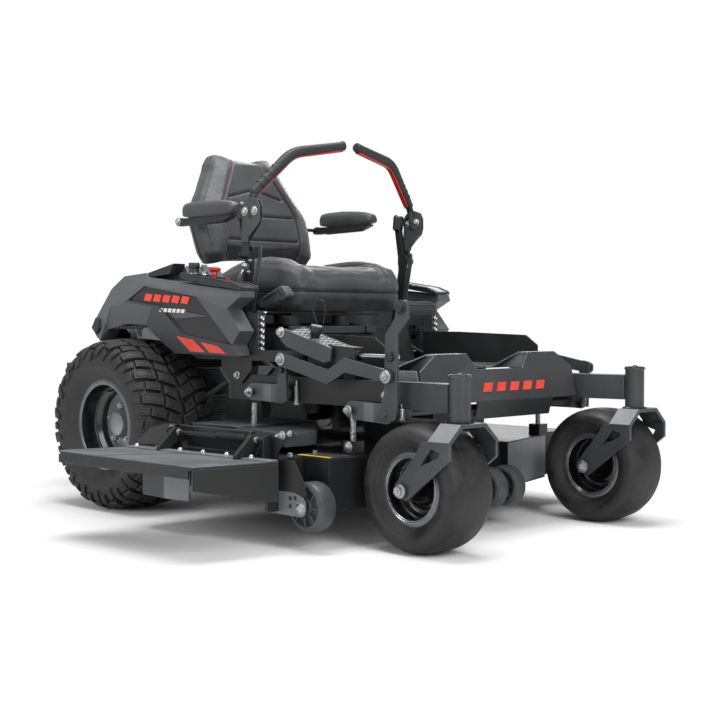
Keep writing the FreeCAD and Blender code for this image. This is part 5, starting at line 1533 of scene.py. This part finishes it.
def addFront():
    def onFace(y, z, lift):
        x = 1142 - (z - 366) * 27 / 129
        return at(x + lift * 0.979, y, z + lift * 0.205)
    bars = []  # plain slanted bars where a maker would put a name
    step = (guardBadge["last"] - guardBadge["first"] - guardBadge["wide"]) / (guardBadge["bars"] - 1)
    for k in range(guardBadge["bars"]):
        y, low, high = guardBadge["first"] + k * step, guardBadge["low"], guardBadge["high"]
        corners = [(y, low), (y + guardBadge["wide"], low), (y + guardBadge["wide"] + guardBadge["lean"],
            high), (y + guardBadge["lean"], high)]
        bars.append(([onFace(a, b, lift) for lift in (-0.5, 2.6) for a, b in corners], boxFaces))
    addPiece("guard_badge_bars", bars, redInk, "chassis", 20)
    sidesOut = []
    for y0, y1 in ((-332, -329), (329, 332)):
        sidesOut.append(pushOutline([(1010, 430), (1010, 453), (1036, 453), (1113, 453), (1140, 368),
            (1108, 368)], y0, y1))
    for y0, y1 in ((-137, -133), (133, 137), (-258, -254), (254, 258)):
        sidesOut.append(pushOutline([(1012, 449), (1082, 491), (1112, 491), (1120, 452)], y0, y1))
    addPiece("guard_gussets", sidesOut, lightPowderCoat, "chassis", 20, 1.0)
    lip = pushOutline([(1143, 367), (1129.5, 319), (1131.5, 318), (1145, 366)], -118, 212)
    addPiece("guard_lip_face", lip, blackPowderCoat, "chassis", 20, 0.6)
    bolts, dark = [], []
    for side in (-1, 1):
        dark.append(boltHead((1305, side * 385, 448.6), (0, 0, 1), 16, 6, True, True))
        bolts.append(boltHead((1060, side * 391.4, 392), (0, side, 0), 16, 8))
        bolts.append(boltHead((1110, side * 334, 414), (0, side, 0), 13, 7))
        dark.append(boltHead((1120, side * 332, 392), (0, side, 0), 20, 7, True))
    shadeSheetsAndCaps, lightWall = [], []
    # painted shade: black sheets over the rail's outer face where it lies in shadow behind the gear; the
    # caster stem caps join them
    for side in (-1, 1):
        shadeSheetsAndCaps.append(pushOutline([(440, 360), (1084, 360), (1084, 426), (440, 426)],
            *span(side, 390.2, 391.3)))
        shadeSheetsAndCaps += [turnProfile([(447.6, 20), (447.6, 27.5), (452, 27.5), (452, 20)], (1305, side * 385, 0),
            "z", 12, True)]
    addPiece("rail_shade_sheets_and_caster_caps", shadeSheetsAndCaps, blackPowderCoat, "chassis", 20, 0.5)
    for lift in (0.3, 1.8):
        lightWall += [at(1027 + 0.962 * lift, 158 + 0.274 * lift, 106),
            at(945 + 0.962 * lift, 443 + 0.274 * lift, 106), at(945 + 0.962 * lift, 443 + 0.274 * lift,
            230), at(1027 + 0.962 * lift, 158 + 0.274 * lift, 230)]
    addPiece("deck_front_skin", (lightWall, boxFaces), lightPowderCoat, "deck", 20)
    addPiece("frame_bolts", bolts, zincPlate, "chassis", 30)
    addPiece("frame_dark_bolts", dark, blackPowderCoat, "chassis", 30)
    for side in (-1, 1):
        y = side * 385
        heads = [boltHead((1198, y + e * 102, 165), (0, e, 0), 22, 10, True, False, 4) for e in (-1, 1)]
        addPiece("caster_bolts_" + sides[side], heads, zincPlate, "caster_" + sides[side], 30)
        # painted highlight: slabs in the lighter coat on the fork's sloping shoulders
        faces = []
        for e in (-1, 1):
            quad = [at(1283, y + e * 46.4, 332.6), at(1349, y + e * 46.4, 332.6),
                at(1349, y + e * 93.2, 291.4), at(1283, y + e * 93.2, 291.4)]
            quad += [p + Vector((0, e * 0.001, 0.0012)) for p in quad]
            faces.append((quad, slabFaces))
        addPiece("caster_shoulder_highlights_" + sides[side], faces, lightPowderCoat,
            "caster_" + sides[side], 30)
        collar = turnProfile([(333.2, 34), (336, 34)], (1305, y, 0), "z", 48)
        addPiece("caster_seal_" + sides[side], [collar], blackPowderCoat,
            "caster_" + sides[side], 30)
    under = [pushOutline([(516, 545), (528, 545), (528, 567), (516, 567)], -236, 76)]
    under.append(pushOutline([(516, 545), (534, 545), (534, 567), (516, 567)], 80, 118))
    addPiece("seat_cross_rail", under, greyPowderCoat, "chassis", 20, 1.2)
    mounts = [turnProfile([(569, 26), (590, 28), (598, 24)], (478, y, 0), "z", 32) for y in (-190, 20)]
    addPiece("seat_rubber_mounts", mounts, gripRubber, "chassis", 30)
    sill = []
    for side in (-1, 1):
        for outline in ([(384, 448), (404, 448), (452, 406), (440, 403), (428, 404)],
                [(566, 456), (636, 458), (600, 430), (560, 430)]):
            sill.append(pushOutline(outline, *span(side, 391.6, 394)))
    addPiece("sill_light_webs", sill, greyPowderCoat, "chassis", 20, 1.0)
    studs = []
    for x, low, high in ((727, 352, 404), (1120, 330, 358)):
        for side in (-1, 1):
            studs.append(sweepRound([(x, side * 396, low), (x, side * 396, high)], 6.5, 16))
            studs.append(sweepRound([(x, side * 396, high), (x, side * 396, high + 14)], 3.2, 12))
            coil = [(x + 8 * cos(2 * pi * k / 10), side * 396 + 8 * sin(2 * pi * k / 10),
                low + (high - low) * k / 90) for k in range(91)]
            studs.append(sweepRound(coil, 1.4, 6))
    addPiece("lift_springs", studs, zincPlate, "chassis", 40)
    addPiece("sill_bolts", [boltHead((478, s * 399.2, 427), (0, s, 0), 14, 7) for s in (-1, 1)],
        zincPlate, "chassis", 30)


addFront()
print("front and deck made")


footMat = {"rear": 604, "front": 984, "inner": 24, "outer": 300, "pitch": 24}


def addFootMats():
    mesh = parts["floor_pan"].data
    tree = BVHTree.FromPolygons([v.co for v in mesh.vertices], [tuple(f.vertices) for f in mesh.polygons])
    shapes = []
    for side in (-1, 1):
        middle = side * (footMat["inner"] + footMat["outer"]) / 2
        levels = [tree.ray_cast(at(x, middle, 535), Vector((0, 0, -1)))[0] for x in (footMat["rear"],
            footMat["front"])]
        low, high = [p.z * 1000 for p in levels]
        y0, y1 = sorted((side * footMat["inner"], side * footMat["outer"]))
        shapes.append(pushOutline([(footMat["rear"], low + 0.2), (footMat["front"], high + 0.2),
            (footMat["front"], high + 3), (footMat["rear"], low + 3)], y0, y1))
        x = footMat["rear"] + 8
        while x < footMat["front"] - 14:
            z = low + (high - low) * (x - footMat["rear"]) / (footMat["front"] - footMat["rear"]) + 2.8
            shapes.append(pushOutline([(x, z), (x + 12, z), (x + 10, z + 3), (x + 2, z + 3)], y0 + 8,
                y1 - 8))
            x += footMat["pitch"]
    addPiece("foot_mats", shapes, gripRubber, "chassis", 24)


addFootMats()

# --- engine: finned cylinders, screened shroud, air cleaner, oil filter, muffler shield, rear frame

engineAt = {"x": -250, "fins": 9, "finPitch": 9.5, "slots": 36}


def addEngine():
    x0 = engineAt["x"]
    fins = []
    for side in (-1, 1):
        for k in range(engineAt["fins"]):
            y = side * (128 + k * engineAt["finPitch"])
            size = 62 - 1.2 * abs(k - 4)
            outline = [(x0 - size, 566), (x0 - size + 10, 556), (x0 + size - 10, 556), (x0 + size, 566),
                (x0 + size, 640), (x0 + size - 12, 652), (x0 - size + 12, 652), (x0 - size, 640)]
            fins.append(pushOutline(outline, *sorted((y, y + side * 3.4))))
        fins.append(pushOutline([(x0 - 46, 572), (x0 + 46, 572), (x0 + 46, 640), (x0 - 46, 640)],
            *span(side, 120, 212)))
        fins.append(pushOutline([(x0 - 54, 562), (x0 + 54, 562), (x0 + 54, 648), (x0 - 54, 648)],
            *span(side, 212, 232)))
    addPiece("engine_fins", fins, castAlloy, "chassis", 20, 0.8)
    ribs, ring = [], []
    for k in range(engineAt["slots"]):
        a = 2 * pi * k / engineAt["slots"]
        p, q = (x0 + 56 * cos(a), 56 * sin(a), 727), (x0 + 122 * cos(a + 0.22), 122 * sin(a + 0.22), 725.4)
        ribs.append(sweepRound([p, ((p[0] + q[0]) / 2 + 2 * cos(a), (p[1] + q[1]) / 2 + 2 * sin(a), 727.6),
            q], 2.1, 6))
    for r in (56, 78, 100, 122, 132):
        ring.append([(x0 + r * cos(2 * pi * k / 72), r * sin(2 * pi * k / 72), 726.4) for k in range(73)])
    hoops = [sweepRound(points, 2.4, 6, False) for points in ring]
    cap = turnProfile([(724, 54), (731, 50), (733, 30), (733.4, 0.2)], (x0, 0, 0), "z", 48)
    lip = turnProfile([(700, 166), (706, 168.5), (722, 167), (726.5, 160), (727, 140), (724, 134)],
        (x0, 0, 0), "z", 96)
    steps = [turnProfile([(z, 166.4), (z + 2, 168), (z + 8, 168), (z + 10, 166.4)], (x0, 0, 0), "z", 96)
        for z in (632, 650, 668)]
    addPiece("engine_screen", ribs + hoops + [cap], darkPlastic, "chassis", 40)
    addPiece("engine_shroud_lip", [lip] + steps, blackPowderCoat, "chassis", 40)
    hub = [boltHead((x0 + 40 * cos(2 * pi * k / 4 + 0.8), 40 * sin(2 * pi * k / 4 + 0.8), 732), (0, 0, 1),
        12, 5) for k in range(4)]
    hub += [boltHead((x0 + 150 * cos(2 * pi * k / 6), 150 * sin(2 * pi * k / 6), 726.6), (0, 0, 1), 11, 5)
        for k in range(6)]
    for side in (-1, 1):
        hub += [boltHead((x0 + a, side * 232, z), (0, side, 0), 12, 6) for a in (-44, 44)
            for z in (572, 638)]
    addPiece("engine_bolts", hub, zincPlate, "chassis", 30)
    canister = turnProfile([(-118, 0.2), (-118, 44), (-112, 52), (-40, 54), (-36, 58), (-30, 58), (-26, 54),
        (96, 54), (104, 48), (104, 0.2)], (x0 + 178, 0, 664), "y", 64)
    clamps = [turnProfile([(y, 54.6), (y + 2, 56.4), (y + 12, 56.4), (y + 14, 54.6)], (x0 + 178, 0, 664),
        "y", 64) for y in (-84, 40)]
    addPiece("air_cleaner", [canister], darkPlastic, "chassis", 36)
    addPiece("air_cleaner_clamps", clamps, brightSteel, "chassis", 36)
    snorkel = sweepRound(smoothRoute([(x0 + 178, 60, 690), (x0 + 150, 110, 706), (x0 + 96, 122, 694),
        (x0 + 60, 118, 660)], 8), 20, 20)
    addPiece("intake_hose", snorkel, gripRubber, "chassis", 60)
    oil = turnProfile([(-64, 0.2), (-64, 30), (-60, 34), (0, 35), (4, 32), (4, 0.2)], (x0 - 100, -70, 560),
        "y", 12)
    addPiece("oil_filter", [oil], blackPowderCoat, "chassis", 20)
    shield = []
    for y0, y1 in ((-156, -6), (6, 156)):
        shield.append(pushOutline([(-516, 486), (-510, 486), (-510, 566), (-516, 566)], y0, y1))
    louvres = []
    for k in range(14):
        y = -150 + k * 23
        if abs(y + 6) > 12:
            louvres.append(pushOutline([(-522, 498), (-516, 496), (-516, 556), (-522, 554)], y, y + 11))
    addPiece("muffler_shield", shield, castAlloy, "chassis", 20, 2.0)
    addPiece("muffler_louvres", louvres, machinedDisc, "chassis", 20, 1.5)
    bands = [turnProfile([(y, 55.4), (y + 2, 57), (y + 16, 57), (y + 18, 55.4)], (-450, 0, 520), "y", 64)
        for y in (-120, -8, 104)]
    tail = sweepRound(smoothRoute([(-450, 120, 480), (-462, 138, 452), (-500, 146, 440), (-548, 148, 436)],
        8), 17, 24)
    addPiece("muffler_bands", bands + [tail], castAlloy, "chassis", 40)
    screws = [boltHead((-516.4, y, z), (-1, 0, 0), 11, 5) for y in (-146, -16, 16, 146) for z in (492, 560)]
    addPiece("muffler_screws", screws, zincPlate, "chassis", 30)


def addRearAndCables():
    bumper = [pushOutline([(-560, 372), (-548, 372), (-548, 436), (-560, 436)], -300, 300)]
    for side in (-1, 1):
        bumper.append(pushOutline([(-556, 372), (-420, 372), (-420, 384), (-548, 436), (-556, 436)],
            *span(side, 294, 300)))
    plate = pushOutline([(-562.4, 384), (-560, 384), (-560, 424), (-562.4, 424)], -170, 170)
    addPiece("rear_bumper", bumper, greyPowderCoat, "chassis", 20, 2.0)
    bars = [pushOutline([(-563.4, 394), (-562, 394), (-562, 414), (-563.4, 414)], y, y + 20)
        for y in range(-94, 95, 28)]
    addPiece("rear_bumper_panel", plate, blackPowderCoat, "chassis", 20, 1.0)
    addPiece("rear_bumper_bars", bars, redInk, "chassis", 20)
    hoses = []
    for side in (-1, 1):
        hoses.append(sweepRound(smoothRoute([(560, side * 372, 470), (640, side * 380, 440),
            (720, side * 384, 424), (800, side * 376, 418), (860, side * 360, 430)], 8), 7, 12))
        hoses.append(sweepRound(smoothRoute([(440, side * 330, 540), (470, side * 352, 500),
            (540, side * 362, 470), (640, side * 350, 462)], 8), 5, 10))
        hoses.append(sweepRound(smoothRoute([(180, side * 250, 300), (240, side * 330, 340),
            (330, side * 350, 380), (420, side * 330, 430)], 8), 8, 12))
        for k in range(10):
            hoses.append(sweepRound([(646 + k * 8, side * 380.4, 439 - k * 1.7),
                (650 + k * 8, side * 380.8, 438.2 - k * 1.7)], 8.4, 12))
    addPiece("hoses", hoses, gripRubber, "chassis", 60)
    pump = []
    for side in (-1, 1):
        for k in range(7):
            z = 282 + k * 9
            pump.append(turnProfile([(z, 66), (z + 1.5, 70), (z + 3.5, 70), (z + 5, 66)],
                (96, side * 205, 0), "z", 48))
        pump.append(turnProfile([(270, 0.2), (270, 64), (350, 64), (356, 50), (362, 30), (362, 0.2)],
            (96, side * 205, 0), "z", 48))
    addPiece("drive_pump_fins", pump, castAlloy, "chassis", 36)
    bolts = [boltHead((-560.4, side * y, z), (-1, 0, 0), 15, 7, True) for side in (-1, 1)
        for y in (215, 275) for z in (386, 422)]
    addPiece("rear_bolts", bolts, zincPlate, "chassis", 30)


addEngine()
addRearAndCables()
print("engine and rear made")

print("all pieces made")
